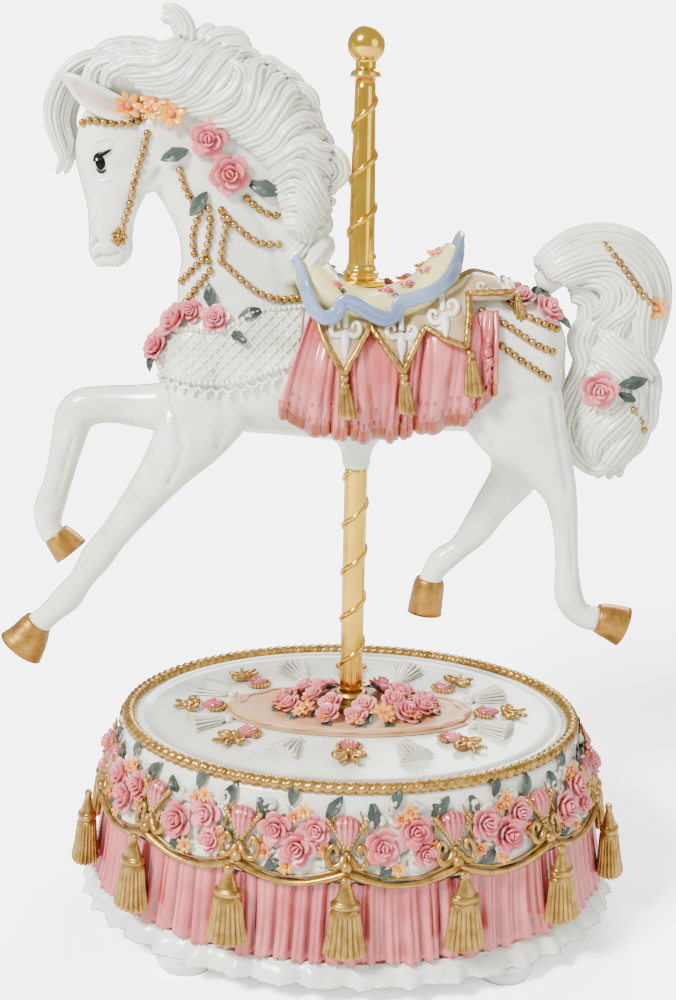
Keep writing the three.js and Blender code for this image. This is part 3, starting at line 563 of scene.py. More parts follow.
def build_rose(bm):
    for k, (count, lean, reach, height, wide, tall, cup) in enumerate(ROSE_RINGS):
        for i in range(count):
            petal(bm, TAU * (i + 0.37 * k) / count, lean, reach, height, wide, tall, cup)


DAISY_PETALS = 7


def build_daisy(bm):
    for i in range(DAISY_PETALS):
        petal(bm, TAU * i / DAISY_PETALS, 1.2, 0.6, 0.22, 0.27, 0.5, 1.1)
    verts = bmesh.ops.create_uvsphere(bm, u_segments=8, v_segments=5, radius=0.26)["verts"]
    bmesh.ops.translate(bm, vec=(0, 0, 0.34), verts=verts)
    for face in {face for vert in verts for face in vert.link_faces}:
        face.material_index = 1


def build_leaf(bm):
    """A pointed leaf along +X from its stem, folded along its rib, toothed, with side veins."""
    verts = bmesh.ops.create_uvsphere(bm, u_segments=16, v_segments=8, radius=1)["verts"]
    for vert in verts:
        x, y, z = vert.co
        width = 0.44 * max(0, 1 - x * x) ** 0.35 * (1 + 0.12 * math.cos(11 * x))
        vein = 0.07 * math.cos(11 * x - 4 * abs(y))
        vert.co = (1 + x, y * width, 0.08 * z + 0.42 * abs(y) * width - 0.16 * x * x + 0.2 + vein)


def build_bead(bm):
    bmesh.ops.create_uvsphere(bm, u_segments=8, v_segments=6, radius=1)


ROSE_SHAPE, DAISY_SHAPE = pattern(build_rose), pattern(build_daisy)
LEAF_SHAPE, BEAD_SHAPE = pattern(build_leaf), pattern(build_bead)
POSY = [PETAL, YELLOW, PEACH, BEAD, LEAF]       # the paints of every posy, in the order of its slots
PINK_SLOT, YELLOW_SLOT, PEACH_SLOT, BEAD_SLOT, LEAF_SLOT = range(5)
DAISY_SLOTS = (PEACH_SLOT, YELLOW_SLOT)         # daisies of a posy take turns


def put_rose(bm, point, normal, radius, turn=0.0):
    stamp(bm, ROSE_SHAPE, facing(point, normal, turn, radius), PINK_SLOT)


def put_daisy(bm, point, normal, radius, turn=0.0, slot=PEACH_SLOT):
    """A daisy; its centre is painted as the next slot of the posy."""
    stamp(bm, DAISY_SHAPE, facing(point, normal, turn, radius), slot)


def put_bead(bm, point, radius, slot=0):
    stamp(bm, BEAD_SHAPE, Matrix.Translation(point) @ Matrix.Scale(radius * MM, 4), slot)


def put_leaf(bm, point, normal, length, turn):
    stamp(bm, LEAF_SHAPE, facing(point, normal, turn, length / 2), LEAF_SLOT)


def put_beads(bm, points, radius=1.35, pitch=2.75, slot=BEAD_SLOT):
    """Beads strung a pitch apart along points in metres."""
    run = 0.0
    for a, b in zip(points, points[1:]):
        length = (b - a).length / MM
        while run < length:
            put_bead(bm, a.lerp(b, run / length), radius, slot)
            run += pitch
        run -= length


def skin_line(line, lift, side, steps=24):
    """Points in metres along a side-view line that lies on a flank."""
    return [on_skin(*blend_points(line, i / steps), lift, side)[0] for i in range(steps + 1)]


# ---- face, bridle and posies -----------------------------------------------------------------------
# An ear's middle line in side view, and its half width, from its root to its tip.
EAR_LINE = [(-75.5, 277), (-82, 279), (-88, 281.4), (-93, 284), (-97.4, 287.4)]
EAR_WIDTH = [(3.6,), (5.4,), (5.9,), (4.3,), (0.5,)]
EAR_OUT, EAR_SPREAD = 5.6, 3.4      # how far its root stands out, and how much further its tip does
EAR_LIP = 1.3                       # the painted shade inside the ear stops this far up the rolled edge


def make_ears():
    """Pricked ears: leaves cupped toward the flank, their edges rolled out."""
    bm = bmesh.new()
    for side in (NEAR, FAR):
        def shape(u, w, side=side):
            x, z = blend_points(EAR_LINE, w)
            half = blend_points(EAR_WIDTH, w)[0]
            across = 2 * u - 1
            cup = 3.6 * across ** 2 * math.sin(math.pi * min(1, w + 0.15)) ** 0.5
            y = side * (EAR_OUT + EAR_SPREAD * w + cup)
            return place(x - 0.35 * half * across, y, z + 0.92 * half * across)

        faces = shaped(bm, 14, 18, shape, wrap=False)
        # Faces inside the cup, below the rolled lip and short of the tip, take slot 1: a darker warm colour
        # that is painted shade in the ear's hollow.
        for face in faces:
            middle_x = (face.calc_center_median().x - POLE_X) / MM
            spread = EAR_SPREAD * (EAR_LINE[0][0] - middle_x) / 22
            lip = max(abs((vert.co.y / MM) * side - EAR_OUT - spread) for vert in face.verts)
            face.material_index = 1 if lip < EAR_LIP and middle_x > EAR_LINE[3][0] else 0
        turn_outward(bm, faces, side)
    finish("ears", bm, [PEARL, EAR_HOLLOW_SHADE], HORSE, thickness=1.7, levels=1)


# The eye and its glint, a painted highlight in white: place, half width, tall and flat shape, lift off the
# skin, material.
EYE_SPOTS = ((EYE_AT, 2.1, 1.25, 0.4, 0.15, 0), ((-86.9, 261.6), 0.42, 1.2, 0.6, 1.0, 1))
# The lashes above and below, the brow and the pouch: line, width, lift off the skin, material.
EYE_LINES = (
    ([(-88.4, 260.6), (-87.3, 262.7), (-85.2, 263.3), (-82.2, 264.9)], 0.75, 0.45, 0),
    ([(-87.8, 258.8), (-86.6, 257.6), (-85.2, 257.6), (-84.2, 258.6)], 0.45, 0.3, 0),
    ([(-90.4, 264), (-87.6, 267.2), (-84, 268), (-80.6, 266.4)], 1.0, -0.45, 2),
    ([(-89.6, 258.4), (-87, 254.8), (-83.6, 255), (-81.4, 257.6)], 0.7, -0.4, 2))


def make_eyes():
    bm = bmesh.new()
    for side in (NEAR, FAR):
        for at, size, tall, flat, lift, slot in EYE_SPOTS:
            point, normal = on_skin(*at, lift, side)
            stamp(bm, BEAD_SHAPE, facing(point, normal, 0, size) @ Matrix.Diagonal((1, tall, flat, 1)),
                  slot)
        for line, width, lift, slot in EYE_LINES:
            cord(bm, skin_line(line, lift, side, 12), width, 8, slot,
                 taper=lambda w: 0.2 + math.sin(math.pi * w))
    finish("horse_eyes", bm, [INK, WHITE, PEARL], HORSE, levels=1)


BRIDLE = [
    [(-91.2, 272.8), (-89, 273.6), (-84, 273), (-76, 273), (-71, 275)],
    [(-70.5, 270), (-73.5, 260), (-77, 248), (-79.8, 238.5)]]
NECK_BEADS = [
    [(-60, 258.5), (-58, 252.5), (-54.5, 247.5), (-48, 246)],
    [(-38, 250), (-33.5, 246.4), (-28.5, 244.6), (-23.6, 246.4)],
    [(-46, 245.5), (-42, 241), (-34, 235.5), (-26, 235.5)],
    [(-50, 243), (-50.5, 236), (-51.5, 231), (-49, 227.5)],
    [(-46.5, 246), (-45, 240.5), (-46, 235), (-46.5, 229)],
    [(-46, 229), (-40.5, 224), (-34, 219), (-27, 217), (-21, 217.5)],
    [(-52.5, 229.5), (-56, 226), (-60, 221.5)],
    [(-50, 226), (-54, 221), (-58, 215.5), (-61, 212)],
    [(-53.5, 245), (-55.5, 238), (-55, 231)]]
REAR_BEADS = [
    [(41, 214.5), (46, 212), (54, 207), (61, 203), (66.5, 201)],
    [(43.5, 206.5), (51, 201), (57, 197), (64, 192.6)], [(40, 221), (48, 219), (56, 213), (66, 209)]]
# Flowers on the flanks: (x, z) in side view with a radius or length; leaves add the way they point.
ROSES = [
    (-50.5, 268.6, 6.2), (-43.8, 257.6, 6.8), (-48, 209.5, 5), (-61, 208, 6.2), (-70, 203.5, 5.4),
    (53, 227, 4.8), (64, 219.5, 5.6), (-55.5, 212.5, 4.2)]
DAISIES = [
    (-74.6, 279.6, 4.6), (-68, 283, 4.6), (-62.6, 275.6, 4.9), (-68.6, 276.4, 3.4), (-60.4, 277.6, 3.2)]
LEAVES = [
    (-50, 274, 11, 80), (-44, 273.5, 9, 40), (-57, 265, 10, 200), (-51, 252, 10, 235), (-38, 255, 12, 345),
    (-49, 213, 9, 100), (-41, 210, 9, 20), (-43, 205.5, 8, 330), (-67, 200, 9, 250), (60, 227, 10, 50),
    (57, 219, 8, 215), (70, 219, 8, 350)]


BIT_AT, BIT_BEADS = (-80.6, 236.6), 7       # the rosette of beads at the end of the cheek strap


def make_trappings():
    for side, name in ((NEAR, "near"), (FAR, "far")):
        bm = bmesh.new()
        for line in BRIDLE + NECK_BEADS + REAR_BEADS:
            put_beads(bm, skin_line(line, 0.7, side))
        point, normal = on_skin(*BIT_AT, 0.2, side)
        for i in range(BIT_BEADS):
            turn = Matrix.Rotation(TAU * i / BIT_BEADS, 4, "Z")
            ring = facing(point, normal) @ turn @ Matrix.Translation((2, 0, 0.4))
            stamp(bm, BEAD_SHAPE, ring @ Matrix.Diagonal((1.2, 0.9, 0.7, 1)), BEAD_SLOT)
        stamp(bm, BEAD_SHAPE, facing(point, normal, 0, 1.5), BEAD_SLOT)
        for k, (x, z, radius) in enumerate(ROSES):
            put_rose(bm, *on_skin(x, z, 0.3, side), radius, 0.7 * k)
        for k, (x, z, radius) in enumerate(DAISIES):
            put_daisy(bm, *on_skin(x, z, 1.8, side), radius, 0.5 * k, YELLOW_SLOT)
        for x, z, length, way in LEAVES:
            point, normal = on_skin(x, z, 0.4, side)
            way = math.radians(way)
            tip, _ = on_skin(x + math.cos(way), z + math.sin(way), 0.4, side)
            spread = facing(point, normal).to_3x3().inverted() @ (tip - point)
            put_leaf(bm, point, normal, length, math.atan2(spread.y, spread.x))
        finish(f"trappings_{name}", bm, POSY, HORSE)


make_ears()
make_eyes()
make_trappings()


# ---- hooves ----------------------------------------------------------------------------------------
HOOVES = {
    "hoof_front_near": [(-107.6, -16, 106.8, 4.7, 4.6), (-109.2, -16, 104.6, 5.6, 5.3),
                        (-112, -16, 100, 7.1, 6.4), (-114.4, -16, 96.8, 8.2, 7)],
    "hoof_front_far": [(-108, 16, 129.6, 4.6, 4.6), (-106.6, 16, 127.8, 5.4, 5.3),
                       (-104.4, 16, 125.2, 6, 5.9), (-102.2, 16, 122.4, 6.6, 6.4)],
    "hoof_hind_near": [(83.2, -14.5, 112.8, 4.7, 4.6), (85.4, -14.5, 112.3, 5.5, 5.3),
                       (89, -14.5, 111.2, 6.2, 5.9), (93, -14.5, 109.7, 7, 6.4)],
    "hoof_hind_far": [(27.8, 14.5, 116.4, 4.7, 4.6), (27.4, 14.5, 114, 5.5, 5.3),
                      (26.7, 14.5, 109, 5.8, 5.5), (26, 14.5, 102.6, 6.2, 5.8)]}


def make_hooves():
    for node, sections in HOOVES.items():
        bm = bmesh.new()
        limb(bm, sections, sides=36, steps=5, blunt=True,
             ripple=lambda u, w: 0.012 * math.sin(9 * TAU * w) - (0.1 if w < 0.04 else 0))
        finish(f"{node}_cast", bm, [HOOF], HORSE, [node])


make_hooves()


# ---- hair ------------------------------------------------------------------------------------------
COMB_GROOVES = 8            # grooves round a lock, left by the comb


def lock(bm, middle, width, depth, steps=26):
    """A tapering lock of cast hair, combed along its length. middle(s) gives x, y, z for s 0 to 1."""
    sections = []
    for i in range(steps + 1):
        s = i / steps
        swell = (0.3 + 0.7 * math.sin(math.pi * min(1, 0.1 + s * 0.9)) ** 0.6) * (1 - 0.45 * s ** 4)
        sections.append((*middle(s), width * swell, depth * swell))
    limb(bm, sections, sides=4 * COMB_GROOVES, steps=1,
         ripple=lambda u, w: 0.34 * abs(math.cos(math.pi * COMB_GROOVES * u)) - 0.2)


def mass_depth(core, x, z):
    """How far the hair's mass stands out from the middle plane over a side-view place."""
    nearest = 1.0
    wide = 0.0
    for i in range(41):
        at_x, _, at_z, tall, half_width = blend_points(core, i / 40)
        share = math.hypot(x - at_x, z - at_z) / max(tall, 0.1)
        if share < nearest:
            nearest, wide = share, half_width
    return wide * math.sqrt(1 - nearest * nearest)


def between(a, b, t):
    """A side-view line part of the way between two others, both drawn through their own points."""
    return [[p + (q - p) * t for p, q in zip(blend_points(a, i / 9), blend_points(b, i / 9))]
            for i in range(10)]


def comb_locks(bm, lines, core, rng, width, lift):
    """Locks along drawn lines and along a line between each pair of neighbours, on both flanks."""
    drawn = [(line, 1.0) for line in lines]
    drawn += [(between(a, b, rng.uniform(0.4, 0.6)), 0.0) for a, b in zip(lines, lines[1:])]
    for side in (NEAR, FAR):
        for line, upper in drawn:
            size = width * rng.uniform(0.85, 1.2)
            stand = lift * upper + rng.uniform(-0.5, 0.5)

            def middle(s, line=line, side=side, stand=stand):
                x, z = blend_points(line, s)
                return x, side * (mass_depth(core, x, z) * 0.92 + 1.2 + stand * math.sin(math.pi * s)), z

            lock(bm, middle, size, size * 0.8)


# Locks of the mane in side view, from the poll to the withers, each from its root to its tip.
MANE_LOCKS = [
    [(-77, 276), (-84, 279.5), (-87.6, 284.5), (-86, 290), (-80.5, 292), (-75.6, 289.5), (-73.6, 284.6)],
    [(-90, 290), (-82, 296), (-72, 296.4), (-64.4, 294.4), (-58.4, 298), (-57.6, 303.4), (-60.6, 308),
     (-65.4, 309.4)],
    [(-82, 290), (-74, 291.6), (-66.4, 291.4), (-60, 295), (-58.6, 300), (-61.6, 305), (-66, 305.6)],
    [(-76, 287.4), (-68, 287.6), (-60.4, 289.6), (-54.4, 295.4), (-48.6, 300.4), (-42, 301.6),
     (-37.6, 299)],
    [(-72, 284.6), (-64.3, 282.9), (-56.6, 286.1), (-50.8, 293.6), (-45.1, 297.9), (-38.7, 297.4),
     (-36.6, 294)],
    [(-66, 280.6), (-59, 280), (-52.4, 283.4), (-47.6, 289), (-43.8, 293.7), (-38, 296.3), (-33.6, 294)],
    [(-57, 277.5), (-49.6, 278.6), (-42, 283), (-39.6, 288.4), (-42.4, 291.4), (-45.7, 290)],
    [(-50, 274), (-42.5, 275), (-37.4, 278.6), (-35.4, 285.1), (-34.6, 291), (-30.2, 293), (-26.3, 290.6)],
    [(-44, 270.6), (-37, 273.4), (-31.4, 280), (-28.4, 286), (-24, 289), (-19.8, 286.4)],
    [(-39, 267.6), (-32.4, 270.6), (-27.6, 277.6), (-23.6, 283.4), (-19, 283.6), (-16.4, 280),
     (-18.6, 277)],
    [(-34.5, 263.6), (-28.3, 267), (-23.5, 273), (-18.1, 275.3), (-14.4, 272), (-16.4, 268.6)],
    [(-31.5, 260), (-25, 264.6), (-19.4, 267.6), (-14.6, 265), (-9.4, 263.6), (-7.2, 258.6), (-10.6, 255),
     (-13.4, 257.4)],
    [(-29.6, 256.4), (-23.2, 260.6), (-18.4, 259.6), (-15.4, 254.6), (-12.2, 250), (-8.6, 249.8)],
    [(-28, 252.4), (-22, 255), (-17.6, 251.8), (-14.8, 246.6), (-11.6, 241.6), (-13.6, 238.4)],
    [(-26.6, 247.6), (-20.6, 249), (-16.4, 244.6), (-14.4, 239.4), (-17, 234.6), (-20.8, 233)],
    [(-25.6, 242.4), (-20.6, 242.4), (-18.4, 238), (-20.8, 233.4), (-24.4, 229.4), (-24, 225.6),
     (-20, 224.8)]]
MANE_CORE = [
    (-88, 0, 286, 5, 5), (-80, 0, 288, 7, 7), (-69, 0, 289, 8, 8.5), (-57, 0, 287, 10.5, 10),
    (-45, 0, 283, 12.5, 10.5), (-33, 0, 276, 13, 10.5), (-24, 0, 264, 11.5, 10), (-20.6, 0, 251, 9, 9),
    (-22, 0, 242, 5.5, 7.5), (-24, 0, 234, 3.6, 5)]
FORELOCK_LOCKS = [
    [(-80, 292), (-87, 293.4), (-94, 290), (-98.6, 283.6), (-101, 276), (-99.6, 268), (-97.4, 262),
     (-99.6, 256.6)],
    [(-81, 289), (-87.6, 290.4), (-93, 287), (-97, 280.6), (-98.6, 273.4), (-96.6, 266), (-98.6, 260.4)]]
TAIL_LOCKS = [
    [(57.8, 229.6), (63.6, 235.4), (71.6, 240), (82.6, 241), (92.3, 237.4), (98.9, 229.8), (101.3, 219.4),
     (100.2, 208), (97.6, 198)],
    [(59.3, 228), (68, 234.6), (79.5, 238), (89.2, 234.3), (95.3, 227), (97.2, 218), (97.6, 208),
     (95.6, 199), (96.6, 190)],
    [(60.6, 226), (70.5, 231.7), (80.5, 233.9), (88.7, 229.6), (92.8, 222.1), (92.5, 212.9), (93.8, 203.6),
     (97, 196.3), (99, 189)],
    [(64, 225), (74, 229.6), (83, 230), (89.4, 224), (88, 218), (82, 212.6), (79, 206), (81.4, 199.6),
     (87.7, 195)],
    [(68, 223.6), (76.4, 226.4), (82, 223.4), (81.6, 217), (77, 210.4), (75.6, 203.6), (78.6, 197.6),
     (84, 193)],
    [(70, 221), (75.6, 219), (76.4, 212), (73.8, 206), (76, 199), (74, 193), (70.8, 187), (71.4, 180)],
    [(80.2, 210), (86.2, 204.4), (93.2, 199.2), (98, 193), (98.5, 184.8), (99.2, 178), (96.4, 173.2)],
    [(77, 203), (84, 199), (90, 193.6), (92.6, 186), (90, 179.6), (86, 174), (85.4, 168)],
    [(75.8, 196.8), (74.9, 189.3), (72, 181.1), (71.6, 173.9), (75.8, 166.5), (81.5, 162.7), (85.7, 165.7),
     (90.8, 170)],
    [(88.6, 186.2), (83.4, 182.6), (78.2, 178.5), (75.9, 172), (78.3, 165.8), (83.3, 163.5)],
    [(94.7, 191.5), (91.3, 184.3), (84.7, 178), (80.4, 172.1), (81, 166.6), (84, 165.4)],
    [(98, 186), (96.6, 178.6), (94.9, 171.7), (90.3, 165.7), (90.3, 158.9)],
    [(95, 181), (91, 174.7), (86.9, 169.1), (84, 163.5), (82.6, 158.7)]]
TAIL_CORE = [
    (59, 0, 222.5, 4, 4), (68, 0, 230, 5.5, 5.4), (79, 0, 231.5, 7, 6.4), (87, 0, 224, 9, 7),
    (89.5, 0, 212, 9.5, 7), (88, 0, 199, 9.5, 7), (85, 0, 187, 10, 7), (84.5, 0, 176, 9.6, 6.6),
    (84.6, 0, 168, 6.5, 5), (87, 0, 161, 2.4, 2.4)]


def make_mane():
    bm = bmesh.new()
    comb_locks(bm, MANE_LOCKS, MANE_CORE, random.Random(11), 2.9, 1.5)
    limb(bm, MANE_CORE, sides=24, steps=4)
    finish("mane_cast", bm, [PEARL], HORSE, ["mane"])


def make_forelock():
    bm = bmesh.new()
    for k, spread in enumerate((-4.6, -1.6, 1.6, 4.6)):
        def middle(s, k=k, spread=spread):
            x, z = blend_points(FORELOCK_LOCKS[k % 2], s)
            return x + 0.5 * k, spread * (1 + 0.25 * s), z
        lock(bm, middle, 2.5, 2.4, 30)
    finish("forelock_cast", bm, [PEARL], HORSE, ["forelock"])


def make_tail():
    bm = bmesh.new()
    comb_locks(bm, TAIL_LOCKS, TAIL_CORE, random.Random(23), 3.0, 1.4)
    limb(bm, TAIL_CORE, sides=20, steps=4)
    finish("tail_cast", bm, [PEARL], HORSE, ["tail"])
    posy = bmesh.new()
    for side in (NEAR, FAR):
        out = Vector((0, side, 0))
        for line in ([(78, 239), (83, 233.6), (88, 227.4), (93.6, 220.6), (97, 218)],
                     [(92, 184), (95, 180), (98, 174)]):
            places = (blend_points(line, i / 8) for i in range(9))
            points = [place(x, side * (mass_depth(TAIL_CORE, x, z) + 4.6), z) for x, z in places]
            put_beads(posy, points, 1.3)
        put_rose(posy, place(79.5, side * 10.4, 191), out, 6.4)
        put_daisy(posy, place(97, side * 8, 218), out, 3.8, 0, YELLOW_SLOT)
        put_leaf(posy, place(86, side * 10, 192.6), out, 10, 0.2 if side == NEAR else math.pi - 0.2)
        put_leaf(posy, place(86, side * 10.4, 190), out, 7, -0.4 if side == NEAR else math.pi + 0.4)
    finish("tail_posy", posy, POSY, HORSE)


make_mane()
make_forelock()
make_tail()


# ---- pole ------------------------------------------------------------------------------------------
POLE_TOP_Z = 288.8
UPPER_POLE = [
    (0, 206.3), (3.4, 206.4), (3.4, 228.6), (4.25, 229), (4.25, 229.6), (4.15, 240), (3.9, 258),
    (3.3, POLE_TOP_Z), (0, POLE_TOP_Z)]
COLLAR_TOP_Z = 78.8
BELLY_Z = 160
SPIRAL_PITCH, SPIRAL_STEPS = 17, 26     # rise of the wire in a turn, and its points in a turn


def spiral(bm, low, high, radius_low, radius_high, wire):
    """A raised wire wound round the pole from low to high."""
    steps = int((high - low) / SPIRAL_PITCH * SPIRAL_STEPS)
    points = []
    for i in range(steps + 1):
        t = i / steps
        angle = TAU * t * (high - low) / SPIRAL_PITCH
        radius = radius_low + (radius_high - radius_low) * t
        points.append(place(radius * math.cos(angle), radius * math.sin(angle), low + (high - low) * t))
    cord(bm, points, wire, 6)


def make_pole():
    bm = bmesh.new()
    turned(bm, UPPER_POLE, 48, 64, crisp=True)
    spiral(bm, 231, POLE_TOP_Z - 0.5, 4.2, 3.3, 1.05)
    finish("pole_upper_tube", bm, [BRASS], HORSE, ["pole_upper"])
    # A thin drawn sleeve over the lower pole; it starts above the collar, so it never enters the bushing.
    bm = bmesh.new()
    sleeve = [
        (3.66, COLLAR_TOP_Z), (3.84, COLLAR_TOP_Z + 0.1), (3.84, BELLY_Z + 3), (3.66, BELLY_Z + 3.1),
        (3.66, COLLAR_TOP_Z)]
    turned(bm, sleeve, 48, 80, crisp=True)
    spiral(bm, COLLAR_TOP_Z + 1, BELLY_Z, 3.75, 3.75, 0.95)
    finish("pole_lower_sleeve", bm, [BRASS], HORSE)
    bm = bmesh.new()
    turned(bm, [(3.7, 222.5), (7.4, 222.5), (8, 223), (7.9, 224.2), (6, 224.8), (5.6, 225.8), (6, 226.6),
                (5, 227.6), (4.6, 229), (3.7, 229.2), (3.7, 222.5)], 48, 60)
    finish("saddle_flange_turned", bm, [BRASS], HORSE, ["saddle_flange"])
    bm = bmesh.new()
    ball = [(6 * math.cos(a), 299 + 6 * math.sin(a))
            for a in (-0.95 + i * (0.95 + math.pi / 2) / 12 for i in range(13))]
    turned(bm, [(0, 289.1), (4.6, 289.1), (4.9, 289.9), (4.6, 290.8), (3.4, 291.6), (3.3, 293.2), *ball],
           48, 64)
    finish("ball_finial_turned", bm, [BRASS], HORSE, ["ball_finial"])


make_pole()


# ---- saddle ----------------------------------------------------------------------------------------
SEAT_FORM = [
    (-20, 0, 231, 2.6, 8), (-16.5, 0, 226, 6.5, 14.5), (-10, 0, 220, 6.4, 18.4), (0, 0, 216.8, 6.2, 19.6),
    (12, 0, 216.8, 6.2, 19.6), (21, 0, 221, 6.4, 18), (27.5, 0, 228.6, 6, 14.5), (31, 0, 236.4, 2.6, 9)]
POMMEL = [
    (-17, 0, 226, 3.4, 13), (-15.6, 0, 230, 3.8, 10.6), (-13.6, 0, 234, 4, 7.8), (-11.8, 0, 237, 3.4, 5.2),
    (-10.4, 0, 238.6, 1.4, 2.2)]
RIM = [
    (-23, 0, 231), (-20.6, 10, 229.6), (-18.2, 18, 224), (-15.6, 20, 217.6), (-11.8, 21.2, 214),
    (-8, 21.6, 215), (-5.4, 21, 218.8), (-1.4, 21.4, 218.4), (3.6, 21.8, 215.6), (7.9, 21.8, 214),
    (11.2, 21.4, 215.6), (13, 20.8, 219.2), (17.4, 20.4, 220.6), (23, 19.4, 222.6), (27.8, 17.4, 226.4),
    (31, 13.6, 232), (32.4, 7, 237), (32.8, 0, 238.6)]


def rim_loop(steps):
    """The border's line round the whole seat: one side drawn, the other mirrored, and joined up."""
    stops = RIM + [(x, -y, z) for x, y, z in RIM[-2:0:-1]]
    stops = [stops[-1], *stops, stops[0], stops[1]]
    last = len(stops) - 1
    return [blend_points(stops, (1 + (last - 2) * i / steps) / last) for i in range(steps + 1)]


def make_saddle():
    bm = bmesh.new()
    limb(bm, SEAT_FORM, sides=48, steps=8)
    limb(bm, POMMEL, sides=40, steps=8, material=1,
         ripple=lambda u, w: 0.1 * abs(math.cos(10 * math.pi * u + 5 * w)))
    finish("saddle_seat_cast", bm, [SEAT, PEARL], HORSE, ["saddle_seat"])
    bm = bmesh.new()
    loop = rim_loop(300)

    def ribbon(u, w):
        i = round(w * (len(loop) - 1)) % (len(loop) - 1)
        x, y, z = loop[i]
        ahead = (Vector(loop[(i + 1) % (len(loop) - 1)]) - Vector(loop[i - 1])).normalized()
        out = Vector(((x - 5) * 0.6, y, 0)).normalized()
        rise = ahead.cross(out).normalized()
        tube = 1.35 + 0.25 * math.cos(2 * TAU * u)
        wide, thick = 2.5 * math.cos(TAU * u), tube * math.sin(TAU * u)
        groove = 0.45 * max(0, 1 - abs(wide) / 0.8) if thick > 0 else 0
        return place(*(Vector((x, y, z)) + out * (thick - groove) + rise * wide))

    shaped(bm, 18, len(loop) - 1, ribbon)
    bmesh.ops.remove_doubles(bm, verts=bm.verts, dist=1e-6)
    bmesh.ops.recalc_face_normals(bm, faces=bm.faces)
    finish("saddle_border_cast", bm, [BLUE], HORSE, ["saddle_border"])
    posy = bmesh.new()
    rng = random.Random(5)
    for side in (-1, 1):
        for k, (x, y, z) in enumerate(((-14, 9, 227.4), (-8, 13, 223), (9, 14, 221.6), (16, 11.5, 223.6),
                                       (22, 10, 228), (26, 5, 233), (-11, 5, 225.6))):
            up = Vector((0.1, 0.4 * side, 1))
            put_rose(posy, place(x, y * side, z), up, 2.3, k)
            put_leaf(posy, place(x + 1.6, y * side, z - 0.4), up, 4.6, rng.uniform(0, TAU))
            put_daisy(posy, place(x - 2.6, (y - 1.6) * side, z + 0.1), up, 1.7, k, DAISY_SLOTS[k % 2])
    finish("saddle_posies", posy, POSY, HORSE)


make_saddle()

# ---- cloths cast on the flanks ---------------------------------------------------------------------
DRAPE_TOP = [(-16.5, 212), (-9, 211.5), (0, 211), (12, 210.5), (24, 212), (34, 213), (45, 214)]
DRAPE_HEM = [
    (-26, 184), (-18.8, 179), (-10, 177.4), (-1.8, 177), (5, 176.4), (12, 177), (19, 179.6), (30, 181),
    (38.4, 183.6), (46.6, 192)]
HEM_WIDTH = 4.2
BAND_TOP = [
    (-17.4, 216), (-8, 214), (6, 214), (16, 215), (24, 217.4), (32, 220.6), (40, 223), (50.6, 220.4)]
BAND_LOW = [
    (-16, 209.4), (-4.9, 193.4), (3.9, 206.8), (14.8, 194.6), (22.6, 207.2), (36, 202.6), (37, 216),
    (51.5, 217)]
COLLAR_TOP = [(-19, 214), (-27, 213.4), (-34, 212.6), (-42, 208), (-50, 205.5), (-60, 206), (-67, 205)]
COLLAR_LOW = [(-20, 196), (-30, 193), (-38, 190), (-48, 188.6), (-57, 189), (-64, 191.4), (-67.5, 196)]


def flank_patch(bm, top, low, side, lift, across, down, straight=False):
    """A sheet on a flank between two side-view lines. lift(u, w) raises it off the skin."""
    through = straight_points if straight else blend_points

    def shape(u, w):
        a, b = blend_points(top, u), through(low, u)
        x, z = a[0] + (b[0] - a[0]) * w, a[1] + (b[1] - a[1]) * w
        return on_skin(x, z, lift(u, w), side)[0]

    faces = shaped(bm, across, down, shape, wrap=False)
    turn_outward(bm, faces, side)


def fold(phase):
    """The outline of gathered cloth: round backs and tight valleys."""
    return 2 * abs(math.sin(phase / 2)) - 1


def pleats(u, w):
    """How far the drape stands off the flank: nine uneven folds that deepen toward the hem."""
    run = TAU * 9 * u + 2.2 * math.sin(TAU * 3 * u + 1.2) * (1 - 0.5 * w) + 1.3 * math.sin(5 * u + 2 * w)
    wave = 0.95 * fold(run) + 0.5 * fold(2.3 * run + 1.7) + 0.3 * math.cos(TAU * 3 * u)
    return 2.6 + wave * (0.4 + 0.9 * w) + 1.3 * w ** 2


def make_drape(side, name):
    bm = bmesh.new()
    flank_patch(bm, DRAPE_TOP, DRAPE_HEM, side, pleats, 150, 26)
    cloth = finish(f"drape_{name}_cast", bm, [DRAPE], HORSE, [f"drape_{name}"], 1.3)
    cloth.modifiers["thickness"].offset = -1
    trim = bmesh.new()
    eyelets = bmesh.new()
    steps = 130
    high = [(x, z + 1) for x, z in DRAPE_HEM]
    low = [(x, z - HEM_WIDTH) for x, z in DRAPE_HEM]
    flank_patch(trim, high, low, side, lambda u, w: pleats(u, 1 - 0.1 * w) - 1.0 - 0.5 * w, 150, 6)
    for i in range(3, steps - 2, 4):
        u = i / steps
        a, b = blend_points(DRAPE_TOP, u), blend_points(DRAPE_HEM, u)
        for w, tall, size in ((0.96, 2.2, 0.6), (0.84, 1.0, 0.7)) if i % 3 else ((0.96, 2.6, 0.6),):
            x, z = a[0] + (b[0] - a[0]) * w, a[1] + (b[1] - a[1]) * w
            point, normal = on_skin(x, z, pleats(u, w) + 0.15, side)
            stamp(eyelets, BEAD_SHAPE, facing(point, normal, 0, size)
                  @ Matrix.Diagonal((0.7, tall, 0.4, 1)))
    finish(f"drape_{name}_hem", trim, [HEM], HORSE, thickness=1.2)
    finish(f"drape_{name}_eyelets", eyelets, [HEM], HORSE)


def scroll(bm, centre, radius, turns, start_angle, side, lift, width, hand):
    """A flat spiral cord lying on a flank about a side-view centre."""
    points = []
    for i in range(19):
        t = i / 18
        angle, reach = start_angle + hand * TAU * turns * t, radius * (1 - 0.8 * t)
        x, z = centre[0] + reach * math.cos(angle), centre[1] + reach * math.sin(angle)
        points.append(on_skin(x, z, lift, side)[0])
    cord(bm, points, width, 6, taper=lambda w: 1.1 - 0.5 * w)


